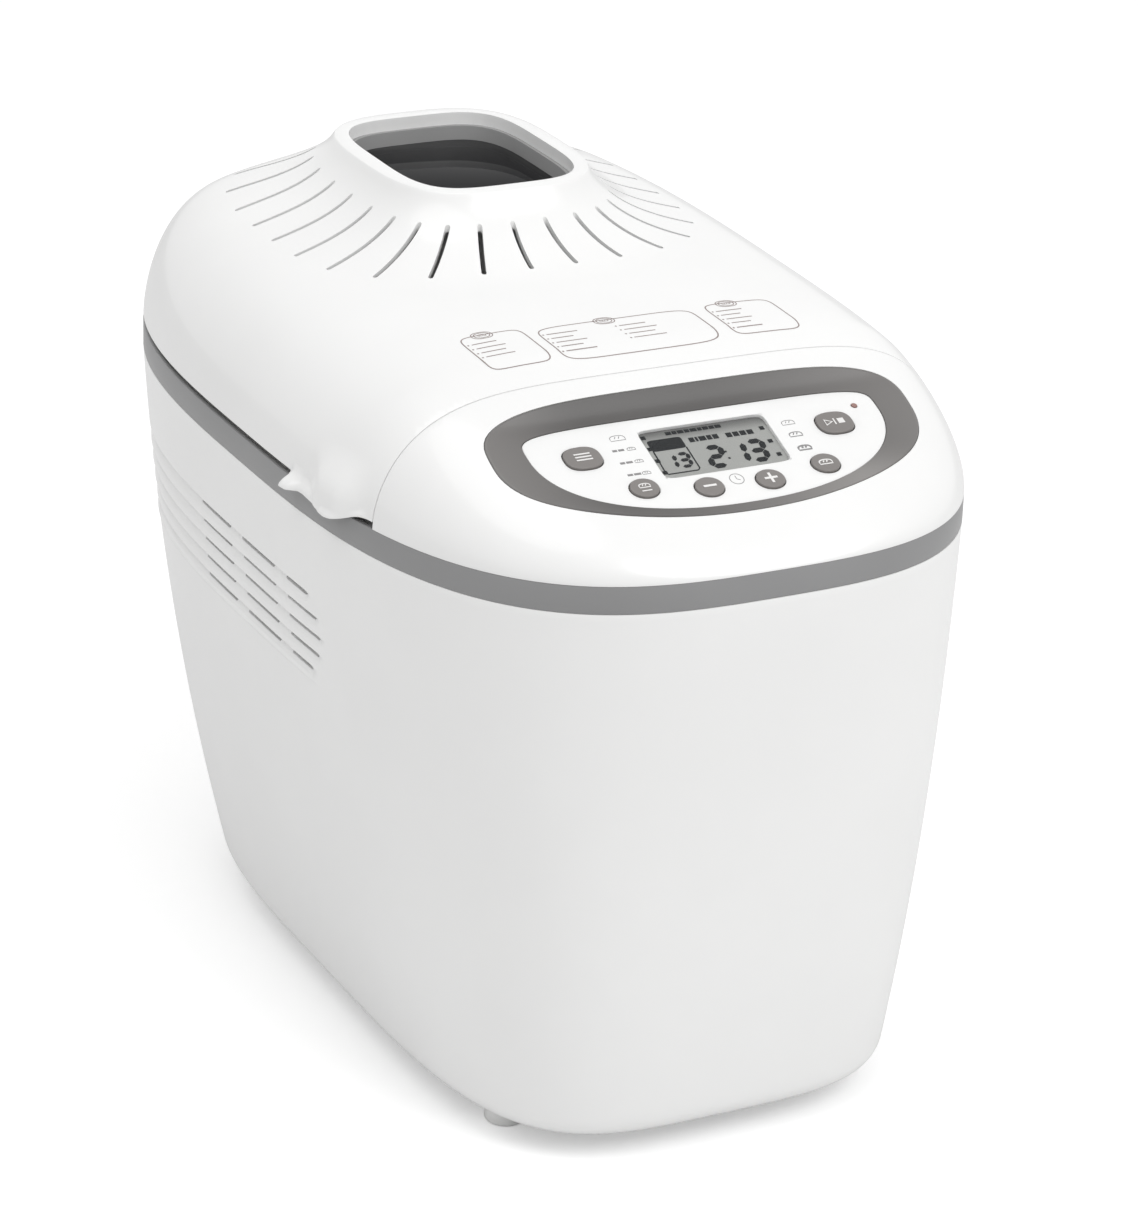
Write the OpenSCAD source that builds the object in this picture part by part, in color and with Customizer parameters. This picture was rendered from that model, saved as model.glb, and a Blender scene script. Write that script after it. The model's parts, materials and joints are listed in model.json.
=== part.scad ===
// Bread machine with two kneading paddles, a hinged lid with a viewing window
// and a control panel at the front.
// Frame: X to the right, front is -Y, Z up. The origin is on the floor under the
// middle of the rim.

/* [Body] */
// Width of the body at the rim
body_w = 280; // [276:1:292]
// Depth of the body at the rim
body_d = 435; // [430:1:447]
// Height of the rim above the floor
rim_z = 254; // [250:1:270]
// Height of the grey band under the lid
band_h = 12; // [11:1:16]
// Width of the body at the base
base_w = 209; // [206:1:220]
// Depth of the body at the base
base_d = 358; // [354:1:370]
// How far the base sits forward of the rim
base_shift = 21; // [18:1:22]
// Squareness of the rim outline
rim_square = 3.02; // [2.9:0.02:3.3]
// Squareness of the base outline
base_square = 3.97; // [3.7:0.01:4.2]
// Outward bow of the side walls
side_bow = 0.142; // [0.1:0.002:0.18]
// Radius of the bottom edge
base_round = 12; // [8:1:13]
// Thickness of the moulded walls
wall = 2.6; // [2:0.1:3]

/* [Feet] */
// Height of the feet
foot_h = 8; // [6:0.5:10]
// Radius of a foot
foot_r = 9; // [7:0.5:10]
// Distance of the feet from the middle plane
foot_x = 78; // [70:1:78]
// Place of the front feet
foot_front_y = -146; // [-148:1:-135]
// Place of the rear feet
foot_rear_y = 100; // [80:1:104]

/* [Side louvres] */
// Rows of slots on each side
louvre_rows = 5; // [3:1:6]
// Slots in one row
louvre_cols = 3; // [2:1:3]
// Height between two rows
louvre_pitch = 9; // [7:0.5:10]
// Length of one slot
louvre_len = 35; // [24:1:36]
// Length of the short slots at the front
louvre_first = 18; // [12:1:26]
// Web between two slots of one row
louvre_web = 8; // [4:0.5:10]
// Height of a slot
louvre_slot = 2.2; // [1.6:0.2:3]
// Front end of the longest row
louvre_front_y = -66; // [-76:1:-56]
// How far the end rows stand back from the longest one
louvre_bow = 9; // [0:1:12]
// Distance of the top row below the rim
louvre_drop = 31; // [26:1:36]

/* [Lid and housing dome] */
// Height of the dome above the band
dome_h = 60; // [56:0.5:66]
// Rise of the crown line in 100 mm towards the rear
dome_rise = 3; // [2:0.5:5]
// Length of the slope at the front of the dome
front_run = 121; // [112:1:130]
// Roundness of the front slope
front_round = 1.33; // [1.25:0.01:1.5]
// Length of the slope at the rear of the dome
rear_run = 79; // [70:1:90]
// Roundness of the rear slope
rear_round = 1.9; // [1.7:0.1:2.4]
// Squareness of the dome's cross-section at the crown
dome_square = 5.2; // [4.6:0.1:5.6]
// Roundness of the dome's shoulders
dome_shoulder = 1.78; // [1.7:0.02:2]
// Rear face of the fixed front housing
split_y = -119; // [-120:0.5:-118]
// Gap between the lid and the housing
split_gap = 0.6; // [0.4:0.1:1]
// Gap between the lid and the band
lid_gap = 3; // [2.5:0.1:4]
// Height of the hinge axis above the band
hinge_up = 9; // [8.6:0.1:10]
// Distance of the hinge axis from the rear of the rim
hinge_in = 9.5; // [9:0.1:10]
// Distance of each hinge from the middle plane
hinge_x = 45; // [40:1:48]
// Width of one hinge
hinge_w = 18; // [16:1:20]
// Radius of a hinge pin
hinge_pin_r = 2.5; // [2:0.1:2.7]

/* [Chimney and window] */
// Distance of the window's centre behind the origin
window_y = 82; // [79:1:84]
// Clear width of the chimney
window_w = 80; // [74:1:82]
// Clear depth of the chimney
window_d = 105; // [98:1:107]
// Width of the chimney's flat rim
chimney_rim = 7.5; // [7:0.1:8.5]
// Height of the chimney's rim above the band
chimney_h = 85; // [82:1:90]
// Width of the flare at the chimney's foot
flare_run = 45; // [40:1:50]
// Squareness of the opening
chimney_square = 3.9; // [3.7:0.1:5]
// Squareness of the chimney's outside
rim_outer_square = 3.1; // [3:0.1:3.8]
// Steepness of the flare at the rim
flare_curve = 0.7; // [0.6:0.02:0.8]
// How softly the flare runs out into the dome
flare_end = 2; // [1.6:0.1:2.4]
// Number of steam slots around the chimney
vent_count = 28; // [20:4:32]
// Width of a steam slot
vent_w = 2.2; // [1.6:0.2:3]
// Depth of the window glass below the rim
glass_down = 12; // [10:1:14]
// Thickness of the glass
glass_t = 3; // [2:0.5:4]

/* [Side grips of the lid] */
// Front end of a grip
grip_front_y = -104; // [-106:1:-100]
// Length of a grip
grip_len = 26; // [20:1:30]
// Radius of a grip
grip_r = 10; // [8:0.5:11]
// Length of the finger hook behind a grip
grip_hook = 22; // [16:1:26]

/* [Control panel] */
// Tilt of the panel
panel_tilt = 20.9; // [19:0.1:22]
// Place of the panel's centre in depth
panel_y = -159; // [-160:0.5:-158]
// Height of the panel's centre above the band
panel_up = 31.4; // [31:0.1:32]
// Width of the bezel
bezel_w = 192; // [186:1:196]
// Reach of the bezel above its centre line
bezel_top = 32; // [30:0.5:33]
// Reach of the bezel below its centre line
bezel_bottom = 45; // [43:0.5:46]
// Width of the white fascia
fascia_w = 157.4; // [152:0.2:160]
// Reach of the fascia above its centre line
fascia_top = 12; // [11:0.5:13]
// Reach of the fascia below its centre line
fascia_bottom = 43.6; // [42:0.2:44]
// Thickness of the fascia
fascia_t = 2.4; // [2:0.1:3]
// Width of the display window
lcd_w = 57.6; // [54:0.2:60]
// Height of the display window
lcd_h = 29.4; // [28:0.2:31]
// Width of the menu and start keys
big_key_w = 17.5; // [15:0.5:18]
// Height of the menu and start keys
big_key_h = 13; // [11:0.5:14]
// Diameter of the small round keys
small_key_d = 12.4; // [10:0.2:13]
// Travel of a key
key_travel = 0.8; // [0.5:0.1:0.9]
// Height of a key above the fascia
key_proud = 1.3; // [1:0.1:1.6]
// Distance of the control board below the fascia
board_down = 12; // [11:0.5:13]

/* [Oven and pan] */
// Place of the oven's centre in depth
oven_y = 30; // [28:1:32]
// Width of the pan at the rim
pan_w = 146; // [138:1:148]
// Depth of the pan at the rim
pan_d = 238; // [228:1:240]
// Height of the pan
pan_h = 118; // [100:1:119]
// Thickness of the pan's wall
pan_wall = 1.6; // [1.2:0.1:2]
// Corner radius of the pan
pan_corner = 24; // [18:1:30]
// Side gap between the pan and the oven wall
oven_side_gap = 19; // [18:0.5:20]
// End gap between the pan and the oven wall
oven_end_gap = 13; // [12.5:0.5:14]
// Thickness of the oven's sheet
sheet = 1; // [0.8:0.1:1.2]
// Height of the oven floor above the floor
oven_floor = 78; // [77:1:80]
// Height of the pan's base ring
pan_base_h = 24; // [22:1:26]
// Distance between the two paddle shafts
shaft_pitch = 116; // [108:1:120]
// Reach of a paddle blade
paddle_reach = 42; // [36:1:46]
// Height of a paddle
paddle_h = 32; // [26:1:34]
// Reach of the pan's handle
bail_reach = 56; // [50:1:58]
// Radius of the pan handle's wire
bail_r = 2.2; // [2:0.1:2.4]
// Radius of the heating element
element_r = 3.3; // [3:0.1:3.6]
// Height of the heating element above the oven floor
element_up = 20; // [16:1:22]
// Depth of the recess in the lid's inner lining
liner_depth = 31; // [31:0.5:36]

/* [Drive] */
// Radius of the drive and paddle shafts
shaft_r = 4; // [3.5:0.1:4.4]
// Radius of the motor pulley
motor_pulley_r = 9; // [8:0.5:11]
// Radius of the large driven pulley
big_pulley_r = 45; // [40:1:46]
// Radius of the two equal link pulleys
link_pulley_r = 30; // [24:1:34]
// Height of a belt
belt_h = 8; // [6:0.5:9]
// Thickness of a belt
belt_t = 2; // [1.5:0.1:2.4]
// Radius of the motor
motor_r = 40; // [34:1:41]
// Height of the motor
motor_h = 56; // [48:1:60]
// Place of the motor's axis in depth
motor_y = -150; // [-152:1:-147]
// Height of the drive frame above the floor
frame_z = 52; // [51:0.5:53]

/* [Fits] */
// Radial clearance of a running shaft
run_fit = 0.04; // [0.02:0.01:0.08]
// Clearance between parts that move past each other
move_gap = 0.4; // [0.3:0.05:0.6]
// Clearance between parts that are put together
seat_gap = 0.2; // [0.1:0.05:0.3]

/* [Hidden] */
// Points in one outline, and facets of one round
plan_pts = 56;
fine = 48;
$fn = fine;

// Colours of the finishes
white = "whitesmoke";
grey = "dimgray";
steel = "silver";
dark = "darkslategray";
board_green = "darkgreen";
brass = "goldenrod";

// Heights that stack up from the floor
half_w = body_w / 2;
half_d = body_d / 2;
band_top = rim_z + band_h;
lid_bottom = band_top + lid_gap;
deck_t = 3;
deck_top = band_top - 1.7;
ledge_t = 3;
ledge_w = 4;
skirt_h = 7;
flange_t = 2.6;

// Oven and pan, from the pan outwards
oven_w = pan_w + 2 * oven_side_gap;
oven_d = pan_d + 2 * oven_end_gap;
oven_corner = pan_corner + 6;
oven_flange = 6;
floor_top = oven_floor + sheet;
pan_z = floor_top + 1 + pan_base_h;
pan_top = pan_z + pan_h;
front_shaft_y = oven_y - shaft_pitch / 2;
rear_shaft_y = oven_y + shaft_pitch / 2;
shaft_ys = [front_shaft_y, rear_shaft_y];

// ---- Outline and loft functions ---------------------------------------------

function signed_pow(v, e) = sign(v) * pow(abs(v), e);

// Rounded outline, a superellipse of half sizes a and b
function outline(a, b, square, yc = 0, count = plan_pts) =
    [for (i = [0 : count - 1])
        let (t = 360 * i / count)
        [a * signed_pow(cos(t), 2 / square), yc + b * signed_pow(sin(t), 2 / square)]];

// Outline with its own reach and squareness above and below its centre line
function d_outline(a, top, bottom, top_square, bottom_square, yc, count = plan_pts) =
    [for (i = [0 : count - 1])
        let (
            t = 360 * i / count,
            upper = t <= 180,
            n = upper ? top_square : bottom_square,
            b = upper ? top : bottom
        )
        [a * signed_pow(cos(t), 2 / n), yc + b * signed_pow(sin(t), 2 / n)]];

// Rounded rectangle as points, counted round from the +X side
function round_rect(w, d, r, yc = 0, steps = 6) =
    [for (q = [0 : 3], i = [0 : steps])
        let (
            t = 90 * q + 90 * i / steps,
            sx = (q == 0 || q == 3) ? 1 : -1,
            sy = q < 2 ? 1 : -1
        )
        [sx * (w / 2 - r) + r * cos(t), yc + sy * (d / 2 - r) + r * sin(t)]];

function lift(points, z) = [for (p = points) [p.x, p.y, z]];

// Skin over a stack of rings, capped at both ends or closed into a loop
module skin(rings, ring_loop = false) {
    n = len(rings[0]);
    m = len(rings);
    caps = ring_loop ? [] : [[for (i = [0 : n - 1]) i],
                             [for (i = [0 : n - 1]) m * n - 1 - i]];
    sides = [for (j = [0 : m - (ring_loop ? 1 : 2)], i = [0 : n - 1])
        let (
            a = j * n + i,
            b = j * n + (i + 1) % n,
            c = ((j + 1) % m) * n + (i + 1) % n,
            d = ((j + 1) % m) * n + i
        )
        each [[a, c, b], [a, d, c]]];
    polyhedron(points = [for (r = rings) each r], faces = concat(caps, sides));
}

// Straight ring between two outlines
module ring_plate(outer, inner, z, h) {
    translate([0, 0, z])
        linear_extrude(h)
            difference() {
                polygon(outer);
                polygon(inner);
            }
}

module rounded_plate(w, d, r, h) {
    linear_extrude(h) round_square(w, d, r);
}

module round_square(w, d, r) {
    square([w - 2 * r, d], center = true);
    square([w, d - 2 * r], center = true);
    for (sx = [-1, 1], sy = [-1, 1])
        translate([sx * (w / 2 - r), sy * (d / 2 - r)]) circle(r);
}

// Flat shape with round ends around the two shafts
module stadium(r) {
    for (y = shaft_ys) translate([0, y]) circle(r);
    translate([-r, front_shaft_y]) square([2 * r, shaft_pitch]);
}

module tube(r_out, r_in, h) {
    difference() {
        cylinder(r = r_out, h = h);
        translate([0, 0, -1]) cylinder(r = r_in, h = h + 2);
    }
}

// ---- Body -------------------------------------------------------------------

// Share of the way from the base outline to the rim outline at a height
function body_share(z) =
    let (s = (z - foot_h) / (rim_z - foot_h))
    s + side_bow * 4 * s * (1 - s);

function body_a(z) = base_w / 2 + (half_w - base_w / 2) * body_share(z);
function body_b(z) = base_d / 2 + (half_d - base_d / 2) * body_share(z);
function body_n(z) = base_square + (rim_square - base_square) * body_share(z);
function body_yc(z) = -base_shift * (1 - body_share(z));

// How far the rounded bottom edge draws the wall in
function round_in(z, r) =
    let (h = foot_h + base_round - z)
    h <= 0 ? 0 : r - sqrt(max(0, r * r - h * h));

function body_ring(z, inset, r) =
    let (d = inset + round_in(z, r))
    lift(outline(body_a(z) - d, body_b(z) - d, body_n(z), body_yc(z)), z);

function rear_wall_y(x, z) =
    let (n = body_n(z))
    body_yc(z) + body_b(z) * pow(1 - pow(abs(x) / body_a(z), n), 1 / n);

function side_wall_x(y, z) =
    let (n = body_n(z))
    body_a(z) * pow(1 - pow(abs(y - body_yc(z)) / body_b(z), n), 1 / n);

base_lip = 4.7;
lip_a = base_w / 2 - base_round - base_lip;
lip_b = base_d / 2 - base_round - base_lip;

// Heights of the shell's rings, close together round the bottom edge
function shell_zs(from, round_steps, wall_steps) = concat(
    [for (i = [0 : round_steps - 1])
        from + (foot_h + base_round - from) * (1 - cos(90 * i / round_steps))],
    [for (i = [0 : wall_steps])
        foot_h + base_round + (rim_z - foot_h - base_round) * i / wall_steps]);

outer_zs = shell_zs(foot_h, 4, 6);
inner_zs = shell_zs(foot_h + flange_t, 2, 4);

// The cord leaves through the rear wall near the base
gland_x = 40;
gland_z = 44;
gland_r = 7;
gland_y = rear_wall_y(gland_x, gland_z);
gland_lean = atan((rear_wall_y(gland_x, gland_z + 5) - rear_wall_y(gland_x, gland_z - 5)) / 10);

// Puts its children on the rear wall, with Z along the wall's outward normal
module at_gland() {
    translate([gland_x, gland_y, gland_z])
        rotate([-90 - gland_lean, 0, 0])
            children();
}

louvre_depth = 9;

// The rows start on a bow, deepest just below the middle row
function louvre_start(row) =
    louvre_front_y + louvre_bow * pow(2 * (row + 0.4 - louvre_rows / 2) / louvre_rows, 2);
louvre_second_y = louvre_front_y + louvre_bow / 2 + louvre_first + louvre_web;

module louvre_cut(side, row, col) {
    z = rim_z - louvre_drop - row * louvre_pitch;
    y0 = col == 0 ? louvre_start(row) : louvre_second_y + (col - 1) * (louvre_len + louvre_web);
    y1 = col == 0 ? louvre_second_y - louvre_web : y0 + louvre_len;
    r = louvre_slot / 2;
    hull()
        for (y = [y0 + r, y1 - r])
            translate([side * side_wall_x(y, z) - louvre_depth / 2, y, z])
                rotate([0, 90, 0]) cylinder(r = r, h = louvre_depth, $fn = 6);
}

module body_shell() {
    color(white)
        difference() {
            skin(concat(
                [for (z = outer_zs) body_ring(z, 0, base_round)],
                [for (i = [len(inner_zs) - 1 : -1 : 0])
                    body_ring(inner_zs[i], wall, base_round - flange_t)],
                [lift(outline(lip_a, lip_b, base_square, -base_shift), foot_h + flange_t),
                 lift(outline(lip_a, lip_b, base_square, -base_shift), foot_h)]),
                ring_loop = true);
            for (side = [-1, 1], row = [0 : louvre_rows - 1], col = [0 : louvre_cols - 1])
                louvre_cut(side, row, col);
            at_gland()
                translate([0, 0, -wall * 3])
                    cylinder(r = gland_r + move_gap, h = wall * 6, $fn = 32);
        }
}

module rim_band() {
    inner = outline(half_w - wall, half_d - wall, rim_square);
    ledge = outline(half_w - wall - ledge_w, half_d - wall - ledge_w, rim_square);
    skirt_in = 3.9;
    skirt_out = outline(half_w - skirt_in, half_d - skirt_in, rim_square);
    color(grey) {
        ring_plate(outline(half_w, half_d, rim_square), inner, rim_z, band_h);
        ring_plate(inner, ledge, deck_top - deck_t - ledge_t, ledge_t);
        ring_plate(skirt_out, ledge, rim_z - skirt_h, deck_top - deck_t - ledge_t - rim_z + skirt_h);
    }
}

// Rails under the deck hold the upright power board
rail_h = 26;
rail_t = 3;
board_w = 116;
board_t = 1.6;
board_y = -half_d + 33.5;

module top_deck() {
    deck_a = half_w - wall - seat_gap;
    deck_b = half_d - wall - seat_gap;
    wire_w = 110;
    wire_d = 50;
    color(white) {
        difference() {
            translate([0, 0, deck_top - deck_t])
                linear_extrude(deck_t) polygon(outline(deck_a, deck_b, rim_square));
            translate([0, oven_y, deck_top - deck_t - 1])
                rounded_plate(oven_w + 2 * sheet + 2 * seat_gap, oven_d + 2 * sheet + 2 * seat_gap,
                    oven_corner, deck_t + 2);
            translate([0, panel_y + 4, deck_top - deck_t - 1])
                rounded_plate(wire_w, wire_d, 8, deck_t + 2);
        }
        for (side = [-1, 1]) rail(side);
    }
}

module rail(side) {
    rail_d = 8;
    x_in = board_w / 2 - rail_t;
    difference() {
        translate([side > 0 ? x_in : -x_in - 2 * rail_t, board_y - rail_d / 2,
                   deck_top - deck_t - rail_h])
            cube([2 * rail_t, rail_d, rail_h]);
        translate([-board_w / 2 - seat_gap, board_y - board_t / 2 - seat_gap,
                   deck_top - deck_t - rail_h - 1])
            cube([board_w + 2 * seat_gap, board_t + 2 * seat_gap, rail_h + 1 - rail_t]);
    }
}

// Posts on the base plate carry the drive frame
post_r = 5;
post_bore_r = 1.6;
post_bore_h = 14;
post_edge = 7.3;
post_rows = [[50, -base_shift - lip_b + post_edge],
             [56, front_shaft_y - 38],
             [56, rear_shaft_y + 30]];
posts = [for (sx = [-1, 1], p = post_rows) [sx * p.x, p.y]];
plate_top = foot_h + flange_t + 2;
vent_len = 44;
vent_pitch = 9;

module base_plate() {
    lap = 2.4;
    color(white)
        difference() {
            union() {
                translate([0, 0, foot_h])
                    linear_extrude(flange_t)
                        polygon(outline(lip_a - seat_gap, lip_b - seat_gap, base_square, -base_shift));
                translate([0, 0, foot_h + flange_t])
                    linear_extrude(plate_top - foot_h - flange_t)
                        polygon(outline(lip_a + lap, lip_b + lap, base_square, -base_shift));
                for (p = posts)
                    translate([p.x, p.y, plate_top - 1])
                        cylinder(r = post_r, h = frame_z - plate_top + 1);
            }
            for (p = posts)
                translate([p.x, p.y, frame_z - post_bore_h])
                    cylinder(r = post_bore_r, h = post_bore_h + 1);
            for (y0 = [motor_y, rear_shaft_y - 20], i = [-2 : 2])
                translate([-vent_len / 2, y0 + i * vent_pitch - 1.5, foot_h - 1])
                    cube([vent_len, 3, plate_top - foot_h + 2]);
        }
}

module feet() {
    chamfer = 1;
    color(white)
        for (sx = [-1, 1], y = [foot_front_y, foot_rear_y])
            translate([sx * foot_x, y, 0])
                rotate_extrude()
                    polygon([[0, 0], [foot_r - chamfer, 0], [foot_r, chamfer],
                             [foot_r, foot_h], [0, foot_h]]);
}

module inlet_gland() {
    flange_r = gland_r + 4;
    bore_r = 3.6;
    flange_h = 2.5;
    color(dark)
        at_gland()
            difference() {
                union() {
                    translate([0, 0, move_gap]) cylinder(r = flange_r, h = flange_h);
                    translate([0, 0, -3 * wall]) cylinder(r = gland_r, h = 3 * wall + move_gap + 1);
                    translate([0, 0, move_gap + flange_h - 1]) cylinder(r = gland_r - 1, h = 5);
                    translate([0, 0, -3 * wall - 1]) cylinder(r = gland_r - 0.5, h = 2);
                }
                translate([0, 0, -5 * wall]) cylinder(r = bore_r, h = 10 * wall);
            }
}

// ---- Dome of the lid and the front housing ----------------------------------

// Height of the crown line over the band
function crown(y) =
    let (
        f = max(0, min(1, (-y - half_d + front_run) / front_run)),
        r = max(0, min(1, (y - half_d + rear_run) / rear_run))
    )
    (dome_h + dome_rise * y / 100)
        * pow(1 - pow(f, front_round), 1 / front_round)
        * pow(1 - pow(r, rear_round), 1 / rear_round);

function plan_half(y) =
    half_w * pow(max(0, 1 - pow(abs(y) / half_d, rim_square)), 1 / rim_square);

function dome_z(x, y) =
    let (u = min(1, abs(x) / max(0.01, plan_half(y))))
    band_top + crown(y) * pow(1 - pow(u, dome_square), 1 / dome_shoulder);

// Half sizes of the chimney's rim
rim_a = window_w / 2 + chimney_rim;
rim_b = window_d / 2 + chimney_rim;
chimney_top = band_top + chimney_h;
flare_lead = 1.1;

// Distance of a place outside the chimney's rim, where the outline around it
// grows by flare_lead in depth for each 1 in width
function rim_distance(x, y, d = 0, steps = 6) =
    let (
        u = abs(x) / (rim_a + d),
        v = abs(y - window_y) / (rim_b + flare_lead * d),
        off = pow(pow(u, rim_outer_square) + pow(v, rim_outer_square), 1 / rim_outer_square) - 1
    )
    steps == 0 ? d : rim_distance(x, y, max(0, d + off * (rim_a + d)), steps - 1);

// Height of the lid's outside: the dome, with the chimney's flare on it
function lid_z(x, y) =
    let (
        base = dome_z(x, y),
        share = pow(max(0, 1 - pow(rim_distance(x, y) / flare_run, flare_curve)), flare_end)
    )
    base + (chimney_top - base) * share;

// Shares of the way in from the lid's edge, close together at the edge
function edge_shares(steps, last) = [for (k = [0 : steps]) last * (1 - cos(90 * k / steps))];

dome_drop = 20;

// Ring of the plain dome at a share of the way in from its edge
function dome_ring(share, inset) =
    [for (p = outline(half_w, half_d, rim_square))
        let (
            z = dome_z(p.x * (1 - share), p.y * (1 - share)),
            keep = (dome_h - inset) / dome_h
        )
        [p.x * (1 - share) * (1 - inset / half_w), p.y * (1 - share) * (1 - inset / half_d),
         band_top + (z - band_top) * keep]];

// Dome without the chimney; a cavity is carried down below the band's top
module dome_block(inset) {
    shares = edge_shares(11, 0.97);
    skin(concat(
        inset > 0 ? [lift(dome_ring(0, inset), band_top - dome_drop)] : [],
        [for (s = shares) dome_ring(s, inset)]));
}

// Ring of the lid between its edge and the chimney's rim
function lid_ring(share, inset) =
    let (
        rim = outline(rim_a, rim_b, rim_outer_square, window_y),
        edge = outline(half_w, half_d, rim_square)
    )
    [for (i = [0 : plan_pts - 1])
        let (
            p = edge[i] * (1 - share) + rim[i] * share,
            keep = 1 - inset / max(abs(p.x), abs(p.y - window_y))
        )
        [p.x * keep, window_y + (p.y - window_y) * keep, max(band_top, lid_z(p.x, p.y) - inset)]];

// ---- Lid --------------------------------------------------------------------

hinge_y = half_d - hinge_in;
hinge_z = band_top + hinge_up;
barrel_r = hinge_pin_r + 2;
liner_z = lid_bottom + 1.2;
liner_w = oven_w + 4;
liner_d = oven_d + 4;
liner_corner = oven_corner + 2;
liner_flange = 10;
liner_top = liner_z + liner_depth;
boss_r = 4;
screw_r = 1.5;
arm_t = 3;
arm_w = 12;
flange_mid = liner_flange / 2 + sheet;
side_boss_x = liner_w / 2 + flange_mid;
end_boss_y = liner_d / 2 + flange_mid;
side_bosses = [for (sx = [-1, 1], sy = [-1, 1]) [sx * side_boss_x, oven_y + sy * liner_d / 4]];
front_bosses = [for (sx = [-1, 1]) [sx * hinge_x, oven_y - end_boss_y]];
rear_bosses = [for (sx = [-1, 1]) [sx * hinge_x, oven_y + end_boss_y]];

// The slots fan out from the foot of the chimney, evenly spaced at both ends
vent_in = 9.5;
vent_side = flare_run + 1;
vent_front = 34;
vent_spread = 3;

function fan(a, b, t) =
    let (r = pow(pow(abs(cos(t)), rim_outer_square) + pow(abs(sin(t)), rim_outer_square),
                 -1 / rim_outer_square))
    [a * r * cos(t), b * r * sin(t)];

module vent_cut(k) {
    t = (k + 0.5) * 360 / vent_count;
    near = fan(rim_a + vent_in, rim_b + vent_in, t + vent_spread * sin(4 * t));
    far = fan(rim_a + vent_side, rim_b + vent_front, t);
    hull()
        for (c = [near, far])
            translate([c.x, window_y + c.y, band_top + dome_h - 20])
                cylinder(r = vent_w / 2, h = chimney_h, $fn = 6);
}

// Lobe on the side of the lid with a finger hook behind it
module side_grip(side) {
    x = side_wall_x(grip_front_y, rim_z) - 1;
    difference() {
        union() {
            hull() {
                grip_ball(side * x, 0, 8, grip_r);
                grip_ball(side * (x + 2), grip_len, 8.5, grip_r - 1);
            }
            hull() {
                grip_ball(side * (x + 2), grip_len, 6, grip_r - 4);
                grip_ball(side * (half_w + 4), grip_len + grip_hook, 1.5, grip_r - 7);
            }
        }
        translate([0, 0, band_top - grip_r])
            linear_extrude(4 * grip_r)
                polygon(outline(half_w - wall - 1, half_d - wall - 1, rim_square));
    }
}

module grip_ball(x, along, up, r) {
    translate([x, grip_front_y + along, band_top + up]) sphere(r = r, $fn = 16);
}

module boss(p, z) {
    difference() {
        translate([p.x, p.y, z]) cylinder(r = boss_r, h = dome_z(p.x, p.y) - z - wall / 2, $fn = 12);
        translate([p.x, p.y, z - 1]) cylinder(r = screw_r + 2 * seat_gap, h = 13, $fn = 8);
    }
}

// Shell of the lid before it is trimmed: the dome outside, the chimney's tube,
// and the same form again one wall further in
module lid_skin() {
    tube_a = window_w / 2;
    tube_b = window_d / 2;
    tube_z = liner_top + sheet + glass_t + seat_gap;
    edge = edge_shares(6, 0.4);
    foot = [for (k = [5 : -1 : 0]) 1 - 0.44 * pow(k / 5, 1.8)];
    inner_edge = edge_shares(4, 0.4);
    low = band_top - dome_drop;
    skin(concat(
        [lift(lid_ring(0, 0), low)],
        [for (s = concat(edge, foot)) lid_ring(s, 0)],
        [lift(outline(tube_a, tube_b, chimney_square, window_y), chimney_top),
         lift(outline(tube_a, tube_b, chimney_square, window_y), tube_z),
         lift(outline(tube_a + wall, tube_b + wall, chimney_square, window_y), tube_z),
         lift(outline(tube_a + wall, tube_b + wall, chimney_square, window_y), chimney_top - 2 * wall)],
        [for (s = [0.96, 0.82]) lid_ring(s, wall)],
        [for (k = [4 : -1 : 0]) lid_ring(inner_edge[k], wall)],
        [lift(lid_ring(0, wall), low)]),
        ring_loop = true);
}

module lid_front() {
    intersection() {
        dome_block(0);
        translate([-body_w, split_y + split_gap, lid_bottom]) cube([2 * body_w, wall, chimney_h]);
    }
}

module lid_shell() {
    notch_w = 2 * (hinge_x + hinge_w / 2) + 16;
    color(white)
        difference() {
            union() {
                intersection() {
                    lid_skin();
                    translate([-body_w, split_y + split_gap, lid_bottom])
                        cube([2 * body_w, body_d, chimney_h * 2]);
                }
                lid_front();
                for (side = [-1, 1]) side_grip(side);
                for (p = side_bosses) boss(p, liner_z + sheet);
                for (p = front_bosses) boss(p, liner_z + sheet);
                for (p = rear_bosses) boss(p, liner_z + sheet + arm_t);
            }
            for (k = [0 : vent_count - 1]) vent_cut(k);
            // room over the band
            translate([0, 0, rim_z - 10])
                linear_extrude(band_h + 10 + lid_gap)
                    polygon(outline(half_w + move_gap, half_d + move_gap, rim_square));
            // room for the hinges and for the rear edge's swing
            translate([-notch_w / 2, hinge_y - 2 * barrel_r, band_top])
                cube([notch_w, 10 * barrel_r, hinge_up]);
            for (sx = [-1, 1])
                translate([sx * hinge_x - hinge_w / 2 - 1, hinge_y, hinge_z]) {
                    rotate([0, 90, 0]) cylinder(r = barrel_r + 1.2, h = hinge_w + 2, $fn = 24);
                    cube([hinge_w + 2, 5 * barrel_r, 2.5]);
                }
        }
}

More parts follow.
